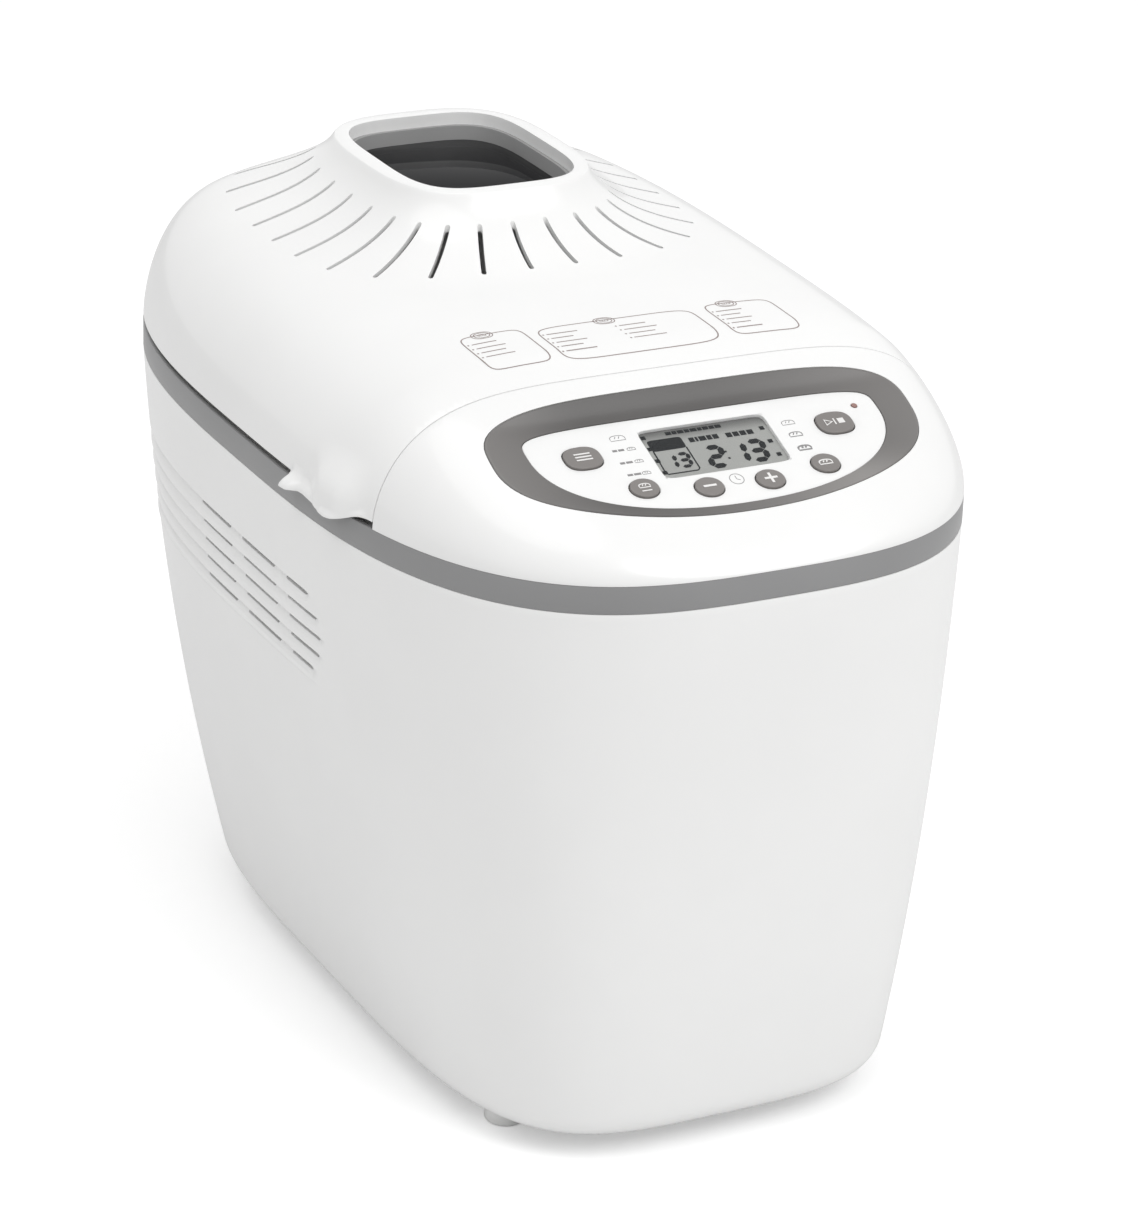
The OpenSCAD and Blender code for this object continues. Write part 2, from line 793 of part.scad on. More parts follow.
module lid_liner() {
    color(steel)
        difference() {
            union() {
                translate([0, oven_y, liner_z])
                    rounded_plate(liner_w + 2 * liner_flange + 2 * sheet,
                        liner_d + 2 * liner_flange + 2 * sheet, liner_corner + liner_flange, sheet);
                translate([0, oven_y, liner_z])
                    rounded_plate(liner_w + 2 * sheet, liner_d + 2 * sheet, liner_corner,
                        liner_depth + sheet);
            }
            translate([0, oven_y, liner_z - 1])
                rounded_plate(liner_w, liner_d, liner_corner - sheet, liner_depth + 1);
            translate([0, 0, liner_z])
                linear_extrude(liner_depth + 5)
                    polygon(outline(window_w / 2 - 5, window_d / 2 - 5, chimney_square, window_y));
            for (p = concat(side_bosses, front_bosses, rear_bosses))
                translate([p.x, p.y, liner_z - 1])
                    cylinder(r = screw_r + seat_gap, h = sheet + 2);
        }
}

module liner_screws() {
    head_h = 0.8;
    color(steel)
        for (p = concat(side_bosses, front_bosses, rear_bosses))
            translate([p.x, p.y, liner_z - head_h]) {
                cylinder(r = 2 * screw_r, h = head_h);
                cylinder(r = screw_r, h = head_h + sheet + arm_t + 6);
            }
}

// Lid side of the hinges: a barrel on the pin and a leaf on the lining
module hinge_arms() {
    leaf_z = liner_z + sheet;
    leaf_y = oven_y + end_boss_y - boss_r;
    color(steel)
        for (sx = [-1, 1])
            difference() {
                union() {
                    translate([sx * hinge_x - arm_w / 2, hinge_y, hinge_z])
                        rotate([0, 90, 0]) cylinder(r = barrel_r, h = arm_w);
                    translate([sx * hinge_x - arm_w / 2, leaf_y, leaf_z])
                        cube([arm_w, hinge_y - leaf_y, arm_t]);
                }
                translate([sx * hinge_x - arm_w, hinge_y, hinge_z])
                    rotate([0, 90, 0]) cylinder(r = hinge_pin_r + run_fit, h = 2 * arm_w);
                translate([sx * hinge_x, oven_y + end_boss_y, leaf_z - 1])
                    cylinder(r = screw_r + seat_gap, h = arm_t + 2);
            }
}

// Body side of the hinges: two ears on a foot on the deck
module hinge_brackets() {
    ear_t = (hinge_w - arm_w - 2 * move_gap) / 2;
    ear_r = barrel_r;
    foot_t = 1.5;
    // the foot stays clear of the band behind it
    foot_back = 2;
    color(steel)
        for (sx = [-1, 1])
            difference() {
                union() {
                    for (e = [-1, 1])
                        translate([sx * hinge_x + (e > 0 ? hinge_w / 2 - ear_t : -hinge_w / 2), 0, 0]) {
                            translate([0, hinge_y, hinge_z])
                                rotate([0, 90, 0]) cylinder(r = ear_r, h = ear_t);
                            translate([0, hinge_y - ear_r, deck_top])
                                cube([ear_t, ear_r + foot_back, hinge_z - deck_top]);
                        }
                    translate([sx * hinge_x - hinge_w / 2, hinge_y - ear_r, deck_top])
                        cube([hinge_w, ear_r + foot_back, foot_t]);
                }
                translate([sx * hinge_x - hinge_w, hinge_y, hinge_z])
                    rotate([0, 90, 0]) cylinder(r = hinge_pin_r, h = 2 * hinge_w);
            }
}

module hinge_pins() {
    color(steel)
        for (sx = [-1, 1])
            translate([sx * hinge_x - hinge_w / 2 - 0.5, hinge_y, hinge_z])
                rotate([0, 90, 0]) cylinder(r = hinge_pin_r, h = hinge_w + 1);
}

// ---- Window -----------------------------------------------------------------

frame_t = 1.8;
ledge_in = 3.5;
glass_z = chimney_top - glass_down - glass_t;
inner_glass_z = liner_top + sheet;

module window_frame() {
    a = window_w / 2 - seat_gap;
    b = window_d / 2 - seat_gap;
    top_gap = 5.5;
    outer = outline(a, b, chimney_square, window_y);
    bottom = inner_glass_z + glass_t;
    color(grey) {
        ring_plate(outer, outline(a - frame_t, b - frame_t, chimney_square, window_y),
            bottom, chimney_top - top_gap - bottom);
        ring_plate(outline(a - frame_t, b - frame_t, chimney_square, window_y),
            outline(a - ledge_in, b - ledge_in, chimney_square, window_y),
            glass_z - 3, 3);
    }
}

module window_glass() {
    inset = seat_gap + frame_t + seat_gap;
    color("black")
        translate([0, 0, glass_z])
            linear_extrude(glass_t)
                polygon(outline(window_w / 2 - inset, window_d / 2 - inset, chimney_square, window_y));
}

module inner_glass() {
    color("lightblue")
        translate([0, 0, inner_glass_z])
            linear_extrude(glass_t)
                polygon(outline(window_w / 2 + 1, window_d / 2 + 1, chimney_square, window_y));
}

// ---- Control panel ----------------------------------------------------------

bezel_yc = 8;
fascia_yc = 9;
bezel_top_square = 3.5;
bezel_bottom_square = 2.3;
fascia_top_square = 7;
fascia_bottom_square = 2.15;
bezel_t = 3;

// Puts its children on the tilted panel, with Z out of the fascia
module on_panel() {
    translate([0, panel_y, band_top + panel_up])
        rotate([panel_tilt, 0, 0])
            children();
}

function bezel_line(grow) =
    d_outline(bezel_w / 2 + grow, bezel_top + grow, bezel_bottom + grow,
        bezel_top_square, bezel_bottom_square, bezel_yc);

function fascia_line(grow) =
    d_outline(fascia_w / 2 + grow, fascia_top + grow, fascia_bottom + grow,
        fascia_top_square, fascia_bottom_square, fascia_yc);

// Height of the dome over the panel's plane, found along the panel's normal
function over_panel(x, v, w = 0, steps = 4) =
    let (
        y = panel_y + v * cos(panel_tilt) - w * sin(panel_tilt),
        z = band_top + panel_up + v * sin(panel_tilt) + w * cos(panel_tilt),
        rise = (dome_z(x, y) - z) * cos(panel_tilt)
    )
    steps == 0 ? w : over_panel(x, v, w + rise, steps - 1);

module bezel() {
    proud = 0.3;
    outer = bezel_line(-seat_gap);
    inner = fascia_line(seat_gap);
    top = [for (p = outer) over_panel(p.x, p.y) + proud];
    color(grey)
        on_panel()
            skin([
                [for (i = [0 : plan_pts - 1]) [outer[i].x, outer[i].y, top[i] - bezel_t]],
                [for (i = [0 : plan_pts - 1]) [outer[i].x, outer[i].y, top[i]]],
                [for (p = inner) [p.x, p.y, proud]],
                [for (p = inner) [p.x, p.y, -bezel_t]]],
                ring_loop = true);
}

// Centres of the round keys on the panel: weight, minus, plus, colour
round_keys = [[-40.2, -18.2], [-13.3, -23], [14, -23.8], [41.4, -19.7]];
menu_key = [-57.6, 3.7];
start_key = [56.9, 2.5];
led_at = [70.4, 11];
led_r = 1.2;
lcd_at = [0, 0];

module big_key_shape(grow) {
    polygon(outline(big_key_w / 2 + grow, big_key_h / 2 + grow, 2.6, 0, 48));
}

module fascia() {
    color(white)
        on_panel()
            difference() {
                translate([0, 0, -fascia_t]) linear_extrude(fascia_t) polygon(fascia_line(0));
                translate([0, 0, -fascia_t - 1])
                    linear_extrude(fascia_t + 2) {
                        for (k = round_keys) translate(k) circle(small_key_d / 2 + move_gap);
                        for (k = [menu_key, start_key]) translate(k) big_key_shape(move_gap);
                        translate(lcd_at) square([lcd_w, lcd_h], center = true);
                        translate(led_at) circle(led_r + seat_gap);
                    }
            }
}

module lcd_window() {
    w = lcd_w - 2 * seat_gap;
    h = lcd_h - 2 * seat_gap;
    color("gainsboro")
        on_panel()
            translate([lcd_at.x - w / 2, lcd_at.y - h / 2, -fascia_t + 1])
                cube([w, h, fascia_t - 1]);
}

module lcd_module() {
    frame_x = 3;
    frame_y = 0.5;
    w = lcd_w + 2 * frame_x;
    h = lcd_h + 2 * frame_y;
    color("darkgray")
        on_panel()
            difference() {
                translate([-w / 2, -h / 2, -board_down])
                    cube([w, h, board_down - fascia_t - seat_gap]);
                translate([-lcd_w / 2, -lcd_h / 2, -fascia_t - seat_gap - 0.6])
                    cube([lcd_w, lcd_h, 2]);
            }
}

module led_lens() {
    color("tomato")
        on_panel()
            translate([led_at.x, led_at.y, -board_down]) cylinder(r = led_r, h = board_down + 0.3);
}

module control_board() {
    color(board_green)
        on_panel()
            difference() {
                translate([0, 0, -board_down - board_t])
                    linear_extrude(board_t) polygon(fascia_line(-2.5));
                for (sx = [-1, 1])
                    translate([sx * 70, -4, -board_down - board_t - 1]) cylinder(r = 1.7, h = 5);
            }
}

switch_size = 6;
switch_h = 2.6;
plunger_h = 0.8;
stem_r = 2.4;
stem_end = -board_down + switch_h + plunger_h + key_travel + 0.15;
flange_h = 1;

module tact_switches() {
    color("black")
        on_panel()
            for (k = concat(round_keys, [menu_key, start_key]))
                translate([k.x, k.y, -board_down]) {
                    translate([-switch_size / 2, -switch_size / 2, 0])
                        cube([switch_size, switch_size, switch_h]);
                    cylinder(r = 1.6, h = switch_h + plunger_h);
                }
}

// A key: cap through the fascia, flange under it, stem to the switch
module round_button(at) {
    r = small_key_d / 2;
    edge = 0.5;
    color(grey)
        on_panel()
            translate([at.x, at.y, 0])
                rotate_extrude()
                    polygon([[0, stem_end], [stem_r, stem_end],
                             [stem_r, -fascia_t - flange_h], [r + 1, -fascia_t - flange_h],
                             [r + 1, -fascia_t - 0.05], [r, -fascia_t - 0.05],
                             [r, key_proud - edge], [r - edge, key_proud], [0, key_proud]]);
}

module big_button(at) {
    color(grey)
        on_panel()
            translate([at.x, at.y, 0]) {
                translate([0, 0, -fascia_t - 0.05])
                    linear_extrude(fascia_t + 0.05 + key_proud) big_key_shape(0);
                translate([0, 0, -fascia_t - flange_h])
                    linear_extrude(flange_h - 0.05) big_key_shape(1);
                translate([0, 0, stem_end])
                    cylinder(r = stem_r, h = -fascia_t - flange_h - stem_end + 0.01);
            }
}

module weight_button() {
    round_button(round_keys[0]);
}

module minus_button() {
    round_button(round_keys[1]);
}

module plus_button() {
    round_button(round_keys[2]);
}

module colour_button() {
    round_button(round_keys[3]);
}

module menu_button() {
    big_button(menu_key);
}

module start_button() {
    big_button(start_key);
}

// Ribs inside the housing carry the bezel
module bezel_rib(k) {
    i = floor(plan_pts * (k + 0.5) / 8);
    p = bezel_line(-1)[i];
    q = bezel_line(4)[i];
    rib_h = 4;
    under = over_panel(p.x, p.y) - bezel_t - rib_h - move_gap;
    skin_z = over_panel(q.x, q.y);
    hull() {
        translate([p.x, p.y, under]) cylinder(r = 1.5, h = rib_h - 1, $fn = 12);
        translate([q.x, q.y, skin_z - 6]) cylinder(r = 1.5, h = 6, $fn = 12);
    }
}

module panel_housing() {
    color(white) {
        difference() {
            intersection() {
                dome_block(0);
                translate([-body_w, -body_d, 0]) cube([2 * body_w, body_d + split_y, body_d]);
            }
            intersection() {
                dome_block(wall);
                translate([-body_w, -body_d, 0]) cube([2 * body_w, body_d + split_y - wall, body_d]);
            }
            on_panel()
                translate([0, 0, -30]) linear_extrude(60) polygon(bezel_line(0));
        }
        intersection() {
            on_panel() for (k = [0 : 7]) bezel_rib(k);
            dome_block(wall / 2);
            translate([-body_w, -body_d, 0]) cube([2 * body_w, body_d + split_y - move_gap, body_d]);
        }
    }
}

// ---- Oven -------------------------------------------------------------------

element_x = oven_w / 2 - 10;
element_d = oven_d / 2 - 7;
element_bend = oven_corner;
element_z = floor_top + element_up;
terminal_x = 22;
terminal_bend = 6.5;
terminal_out = 9;
bearing_r = 10;

module oven_chamber() {
    front_wall = oven_y - oven_d / 2;
    color(steel)
        difference() {
            union() {
                translate([0, oven_y, oven_floor])
                    rounded_plate(oven_w + 2 * sheet, oven_d + 2 * sheet, oven_corner,
                        deck_top - oven_floor + sheet);
                translate([0, oven_y, deck_top])
                    rounded_plate(oven_w + 2 * oven_flange, oven_d + 2 * oven_flange,
                        oven_corner + oven_flange, sheet);
            }
            translate([0, oven_y, floor_top])
                rounded_plate(oven_w, oven_d, oven_corner - sheet, rim_z);
            for (y = shaft_ys)
                translate([0, y, oven_floor - 1]) cylinder(r = bearing_r + seat_gap, h = sheet + 2);
            for (sx = [-1, 1])
                translate([sx * terminal_x, front_wall - 5, element_z])
                    rotate([-90, 0, 0]) cylinder(r = element_r + seat_gap, h = 8);
            translate([oven_w / 2 - 3, oven_y, probe_z])
                rotate([0, 90, 0]) cylinder(r = probe_r + seat_gap, h = 8);
        }
}

probe_r = 3;
probe_z = floor_top + 62;

module temperature_probe() {
    reach = 9;
    color(steel)
        translate([oven_w / 2 - reach, oven_y, probe_z])
            rotate([0, 90, 0]) {
                cylinder(r = probe_r, h = reach + 8);
                translate([0, 0, reach + sheet]) cylinder(r = probe_r + 3, h = 2);
            }
}

module element_corner(x, y, turn, r) {
    translate([x, y, element_z])
        rotate([0, 0, turn])
            rotate_extrude(angle = 90) translate([r, 0]) circle(element_r, $fn = 24);
}

module rod(from, along, length, r) {
    translate(from) rotate(along) cylinder(r = r, h = length, $fn = 24);
}

// Bent tube around the foot of the pan, its two ends through the front wall
module heating_element() {
    side_x = element_x;
    corner_x = side_x - element_bend;
    rear = oven_y + element_d;
    front = oven_y - element_d;
    front_wall = oven_y - oven_d / 2;
    to_x = [0, 90, 0];
    to_y = [-90, 0, 0];
    bend_y = front - terminal_bend;
    color(dark) {
        rod([-corner_x, rear, element_z], to_x, 2 * corner_x, element_r);
        element_corner(corner_x, rear - element_bend, 0, element_bend);
        element_corner(-corner_x, rear - element_bend, 90, element_bend);
        element_corner(-corner_x, front + element_bend, 180, element_bend);
        element_corner(corner_x, front + element_bend, 270, element_bend);
        for (sx = [-1, 1])
            rod([sx * side_x, front + element_bend, element_z], to_y,
                rear - front - 2 * element_bend, element_r);
        rod([terminal_x + terminal_bend, front, element_z], to_x,
            corner_x - terminal_x - terminal_bend, element_r);
        rod([-corner_x, front, element_z], to_x, corner_x - terminal_x - terminal_bend, element_r);
        element_corner(terminal_x + terminal_bend, bend_y, 90, terminal_bend);
        element_corner(-terminal_x - terminal_bend, bend_y, 0, terminal_bend);
        for (sx = [-1, 1])
            rod([sx * terminal_x, front_wall - terminal_out, element_z], to_y,
                bend_y - front_wall + terminal_out, element_r);
    }
}

base_ring_r = 24;
base_ring_t = 2;

module pan_seat() {
    seat_h = 7;
    color(steel)
        translate([0, 0, floor_top])
            linear_extrude(seat_h)
                difference() {
                    stadium(base_ring_r + move_gap + 4);
                    stadium(base_ring_r + move_gap);
                }
}

// ---- Pan and paddles --------------------------------------------------------

pan_base_z = floor_top + 1;
bush_r = 9;
bush_flange = 2;

function pan_ring(z, w, d, inset) =
    lift(round_rect(w - 2 * inset, d - 2 * inset, pan_corner - inset, oven_y), z);

function pan_rings(inset, lift_floor, over) = [
    pan_ring(pan_z + lift_floor, pan_w - 16, pan_d - 16, inset),
    pan_ring(pan_z + lift_floor + 3, pan_w - 11, pan_d - 11, inset),
    pan_ring(pan_z + 12, pan_w - 8, pan_d - 8, inset),
    pan_ring(pan_top - 28, pan_w, pan_d, inset),
    pan_ring(pan_top + over, pan_w, pan_d, inset)];

module bread_pan() {
    bead = 3;
    color(dark)
        difference() {
            union() {
                skin(pan_rings(0, 0, 0));
                translate([0, oven_y, pan_top - bead])
                    rounded_plate(pan_w + 2 * bead, pan_d + 2 * bead, pan_corner + bead, bead);
            }
            skin(pan_rings(pan_wall, pan_wall, 1));
            for (y = shaft_ys)
                translate([0, y, pan_z - 1]) cylinder(r = bush_r - bush_flange, h = pan_wall + 2);
        }
}

module pan_base() {
    color(steel)
        translate([0, 0, pan_base_z])
            linear_extrude(pan_base_h)
                difference() {
                    stadium(base_ring_r);
                    stadium(base_ring_r - base_ring_t);
                }
}

module pan_bushes() {
    bush_down = 6;
    neck_r = bush_r - bush_flange - seat_gap / 4;
    bore = shaft_r + run_fit;
    color(brass)
        for (y = shaft_ys)
            translate([0, y, 0])
                rotate_extrude()
                    polygon([[bore, pan_z - bush_down], [bush_r, pan_z - bush_down],
                             [bush_r, pan_z], [neck_r, pan_z],
                             [neck_r, pan_z + pan_wall], [bush_r, pan_z + pan_wall],
                             [bush_r, pan_z + pan_wall + bush_flange], [bore, pan_z + pan_wall + bush_flange]]);
}

ear_x = pan_w / 2 + 3 + 0.2;
bail_ear_t = 2;
ear_h = 28;
ear_w = 18;
bail_z = pan_top + 4;
bail_x = ear_x + bail_ear_t + move_gap + bail_r;
bail_pin_r = 2;
bail_bend = 14;

module bail_ears() {
    foot_h2 = 12;
    base = bail_z + 7 - ear_h;
    color(steel)
        for (sx = [-1, 1])
            difference() {
                union() {
                    translate([sx > 0 ? ear_x : -ear_x - bail_ear_t, oven_y - ear_w / 2, base])
                        cube([bail_ear_t, ear_w, ear_h]);
                    translate([sx > 0 ? pan_w / 2 : -ear_x, oven_y - ear_w / 2, base])
                        cube([ear_x - pan_w / 2, ear_w, foot_h2]);
                }
                translate([sx * ear_x - 5, oven_y, bail_z])
                    rotate([0, 90, 0]) cylinder(r = bail_pin_r + run_fit, h = 10);
            }
}

// Handle of the pan, lying towards the rear at rest
module bail_handle() {
    grip_len2 = 70;
    bail_grip_r = 5;
    end_y = oven_y + bail_reach;
    pin_in = ear_x - 1.5;
    color(dark) {
        for (sx = [-1, 1]) {
            translate([sx > 0 ? pin_in : -bail_x, oven_y, bail_z])
                rotate([0, 90, 0]) cylinder(r = bail_pin_r, h = bail_x - pin_in);
            translate([sx * bail_x, oven_y, bail_z]) sphere(r = bail_r, $fn = 24);
            rod([sx * bail_x, oven_y, bail_z], [-90, 0, 0], bail_reach - bail_bend, bail_r);
            translate([sx * (bail_x - bail_bend), end_y - bail_bend, bail_z])
                rotate([0, 0, sx > 0 ? 0 : 90])
                    rotate_extrude(angle = 90) translate([bail_bend, 0]) circle(bail_r, $fn = 24);
        }
        rod([-bail_x + bail_bend, end_y, bail_z], [0, 90, 0], 2 * (bail_x - bail_bend), bail_r);
        rod([-grip_len2 / 2, end_y, bail_z], [0, 90, 0], grip_len2, bail_grip_r);
    }
}

wing_len = 24;
wing_w = 5;
wing_h = 5;
coupling_z = floor_top + 6;
coupling_h = 5;
wing_z = coupling_z + coupling_h + move_gap + 0.2;
paddle_z = pan_z + pan_wall + bush_flange + 1.2;
flat_x = shaft_r * 0.75;

// Shaft through the pan's floor: wing below, flat for the paddle above
module pan_shaft(y) {
    color(steel)
        translate([0, y, 0])
            difference() {
                union() {
                    translate([0, 0, wing_z]) cylinder(r = shaft_r, h = paddle_z + paddle_h - 6 - wing_z);
                    translate([-wing_len / 2, -wing_w / 2, wing_z]) cube([wing_len, wing_w, wing_h]);
                }
                translate([flat_x, -10, paddle_z]) cube([20, 20, paddle_h]);
            }
}

module front_pan_shaft() {
    pan_shaft(front_shaft_y);
}

module rear_pan_shaft() {
    pan_shaft(rear_shaft_y);
}

// Paddle: hub with a flat in its bore, and one blade that leans and tapers
module paddle(y, turn) {
    hub_r = shaft_r + 4;
    fit = 0.08;
    blade_t = 5;
    color(dark)
        translate([0, y, paddle_z])
            difference() {
                union() {
                    cylinder(r = hub_r, h = paddle_h);
                    hull() {
                        rotate([0, 0, turn]) translate([hub_r - 3, -blade_t / 2, 0])
                            cube([1, blade_t, paddle_h - 3]);
                        rotate([0, 0, turn]) translate([paddle_reach - 5, 0, 0])
                            cylinder(r = blade_t / 2, h = paddle_h * 0.55, $fn = 24);
                    }
                }
                intersection() {
                    translate([0, 0, -1]) cylinder(r = shaft_r + fit, h = paddle_h + 2);
                    translate([-20, -20, -1]) cube([20 + flat_x + fit, 40, paddle_h + 2]);
                }
            }
}

module front_paddle() {
    paddle(front_shaft_y, -90);
}

module rear_paddle() {
    paddle(rear_shaft_y, 90);
}

// ---- Drive ------------------------------------------------------------------

frame_t2 = 2;
bush_out_r = 7;
bearing_top = floor_top + 3;
motor_belt_z = 21;
link_belt_z = 37;
cheek = 1.4;
bearing_base = frame_z + frame_t2;
motor_base = bearing_base;
can_floor = 6;
rotor_r = 24;

module drive_frame() {
    frame_w = 124;
    front = motor_y - motor_r - 2;
    rear = rear_shaft_y + 40;
    color(steel)
        difference() {
            union() {
                translate([0, (front + rear) / 2, frame_z])
                    rounded_plate(frame_w, rear - front, 12, frame_t2);
                for (y = shaft_ys)
                    translate([0, y, bearing_base - 0.5])
                        cylinder(r = bearing_r, h = bearing_top - bearing_base + 0.5);
            }
            for (y = shaft_ys)
                translate([0, y, frame_z - 1]) cylinder(r = bush_out_r, h = bearing_top);
            translate([0, motor_y, frame_z - 1]) cylinder(r = shaft_r + 2, h = frame_t2 + 2);
            for (p = posts)
                translate([p.x, p.y, frame_z - 1]) cylinder(r = screw_r + seat_gap, h = frame_t2 + 2);
        }
}

module shaft_bushes() {
    color(brass)
        for (y = shaft_ys)
            translate([0, y, frame_z])
                tube(bush_out_r, shaft_r + run_fit, bearing_top - frame_z);
}

module frame_screws() {
    head_h = 2;
    color(steel)
        for (p = posts)
            translate([p.x, p.y, bearing_base]) {
                cylinder(r = 2 * screw_r, h = head_h);
                translate([0, 0, -10]) cylinder(r = screw_r, h = 10.5);
            }
}

module pulley(y, r, z, bore) {
    lip = 2;
    h = belt_h + 2 * cheek + 1;
    translate([0, y, z - cheek - 0.5])
        difference() {
            rotate_extrude()
                polygon([[bore, 0], [r + lip, 0], [r + lip, cheek], [r, cheek],
                         [r, h - cheek], [r + lip, h - cheek], [r + lip, h], [bore, h]]);
            if (r > 20)
                for (k = [0 : 4])
                    rotate([0, 0, k * 72]) translate([r * 0.6, 0, -1]) cylinder(r = r * 0.2, h = h + 2);
        }
}

// Centre line of the drive shaft's coupling dogs
module coupling(y) {
    r = 14;
    dog = 4;
    color(dark)
        translate([0, y, coupling_z]) {
            tube(r, shaft_r, coupling_h);
            for (turn = [0, 180])
                rotate([0, 0, turn])
                    intersection() {
                        tube(r, r - 8, coupling_h + wing_h);
                        translate([0, wing_w / 2 + move_gap, coupling_h - 1])
                            cube([r, dog, wing_h + 1]);
                    }
        }
}

module drive_shaft(y, from) {
    color(steel)
        translate([0, y, from]) cylinder(r = shaft_r, h = coupling_z + coupling_h - from);
}

module front_drive_shaft() {
    drive_shaft(front_shaft_y, motor_belt_z - 5);
}

module rear_drive_shaft() {
    drive_shaft(rear_shaft_y, link_belt_z - 5);
}

module front_coupling() {
    coupling(front_shaft_y);
}

module rear_coupling() {
    coupling(rear_shaft_y);
}

module front_drive_pulley() {
    color(dark) {
        pulley(front_shaft_y, big_pulley_r, motor_belt_z, shaft_r);
        pulley(front_shaft_y, link_pulley_r, link_belt_z, shaft_r);
        translate([0, front_shaft_y, motor_belt_z + belt_h])
            tube(shaft_r + 8, shaft_r, link_belt_z - motor_belt_z - belt_h);
    }
}

module rear_drive_pulley() {
    color(dark) pulley(rear_shaft_y, link_pulley_r, link_belt_z, shaft_r);
}

module motor_pulley() {
    color(dark) pulley(motor_y, motor_pulley_r, motor_belt_z, shaft_r);
}

module belt(y_a, r_a, y_b, r_b, z) {
    color("black")
        translate([0, 0, z])
            linear_extrude(belt_h)
                difference() {
                    belt_line(y_a, r_a + move_gap + belt_t, y_b, r_b + move_gap + belt_t);
                    belt_line(y_a, r_a + move_gap, y_b, r_b + move_gap);
                }
}

module belt_line(y_a, r_a, y_b, r_b) {
    hull() {
        translate([0, y_a]) circle(r_a, $fn = 64);
        translate([0, y_b]) circle(r_b, $fn = 64);
    }
}

module motor_belt() {
    belt(motor_y, motor_pulley_r, front_shaft_y, big_pulley_r, motor_belt_z);
}

module link_belt() {
    belt(front_shaft_y, link_pulley_r, rear_shaft_y, link_pulley_r, link_belt_z);
}

module motor_body() {
    foot_t = 3;
    color(steel)
        translate([0, motor_y, motor_base])
            difference() {
                union() {
                    cylinder(r = motor_r, h = motor_h);
                    translate([-motor_r - 6, -12, 0]) cube([2 * motor_r + 12, 24, foot_t]);
                }
                translate([0, 0, can_floor])
                    cylinder(r = rotor_r + 0.6, h = motor_h - 2 * can_floor);
                translate([0, 0, -1]) cylinder(r = shaft_r + run_fit, h = motor_h + 2);
            }
}

module motor_rotor() {
    from = motor_belt_z - 5;
    color("gray")
        translate([0, motor_y, 0]) {
            translate([0, 0, from])
                cylinder(r = shaft_r, h = motor_base + motor_h + 9 - from);
            translate([0, 0, motor_base + can_floor + 1])
                cylinder(r = rotor_r, h = motor_h - 2 * can_floor - 2);
        }
}

module motor_fan() {
    hub_r = 9;
    blade_h = 7;
    blades = 8;
    color(white)
        translate([0, motor_y, motor_base + motor_h + 1])
            difference() {
                union() {
                    cylinder(r = hub_r, h = blade_h);
                    for (k = [0 : blades - 1])
                        rotate([0, 0, k * 360 / blades])
                            translate([hub_r - 1, -0.75, 0]) cube([motor_r - hub_r - 5, 1.5, blade_h]);
                }
                translate([0, 0, -1]) cylinder(r = shaft_r, h = blade_h + 2);
            }
}

module run_capacitor() {
    cap_r = 14;
    cap_h = 46;
    color(dark)
        translate([motor_r + cap_r + 6, motor_y + 12, bearing_base]) {
            cylinder(r = cap_r, h = cap_h);
            for (s = [-1, 1]) translate([s * 4, -2, cap_h - 1]) cube([1, 4, 7]);
        }
}

// ---- Power board ------------------------------------------------------------

board_h = 78;
board_top = deck_top - deck_t - rail_t;

module power_board() {
    color(board_green)
        translate([-board_w / 2, board_y - board_t / 2, board_top - board_h])
            cube([board_w, board_t, board_h]);
}

module transformer() {
    core = [30, 20, 26];
    relay = [20, 14, 16];
    buffer_r = 6;
    buffer_h = 16;
    low = 12;
    color("black")
        translate([0, board_y - board_t / 2, board_top - board_h]) {
            translate([-core.x - low / 2, -core.y, low]) cube(core);
            translate([low / 2, -relay.y, low]) cube(relay);
            translate([low + buffer_r, 0, board_h - low - 2 * buffer_r])
                rotate([90, 0, 0]) cylinder(r = buffer_r, h = buffer_h);
        }
}

body_shell();
rim_band();
top_deck();
base_plate();
feet();
panel_housing();
bezel();
fascia();
lcd_window();
lcd_module();
led_lens();
control_board();
tact_switches();
menu_button();
start_button();
weight_button();
minus_button();
plus_button();
colour_button();
oven_chamber();
heating_element();
temperature_probe();
pan_seat();
drive_frame();
shaft_bushes();
frame_screws();
motor_body();
motor_rotor();
motor_pulley();
motor_fan();
run_capacitor();
motor_belt();
link_belt();
front_drive_shaft();
front_drive_pulley();
front_coupling();
rear_drive_shaft();
rear_drive_pulley();
rear_coupling();
power_board();
transformer();
inlet_gland();
hinge_brackets();
hinge_pins();
lid_shell();
lid_liner();
hinge_arms();
liner_screws();
window_frame();
window_glass();
inner_glass();
bread_pan();
pan_base();
pan_bushes();
bail_ears();
bail_handle();
front_pan_shaft();
rear_pan_shaft();
front_paddle();
rear_paddle();
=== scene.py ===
# %% [markdown]
# # A bread machine with two kneading paddles
#
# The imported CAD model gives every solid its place. This lesson dresses it: the
# mouldings that show are rebuilt with smooth surfaces, every node gets a finish
# of its own, and a plain studio lights the result. Lengths in the modelling
# cells are in millimetres, because that is how the parts were drawn, and each
# finished mesh is scaled to metres.

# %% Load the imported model
import json
import math
import bmesh
import bpy
import numpy as np
from mathutils import Matrix, Vector

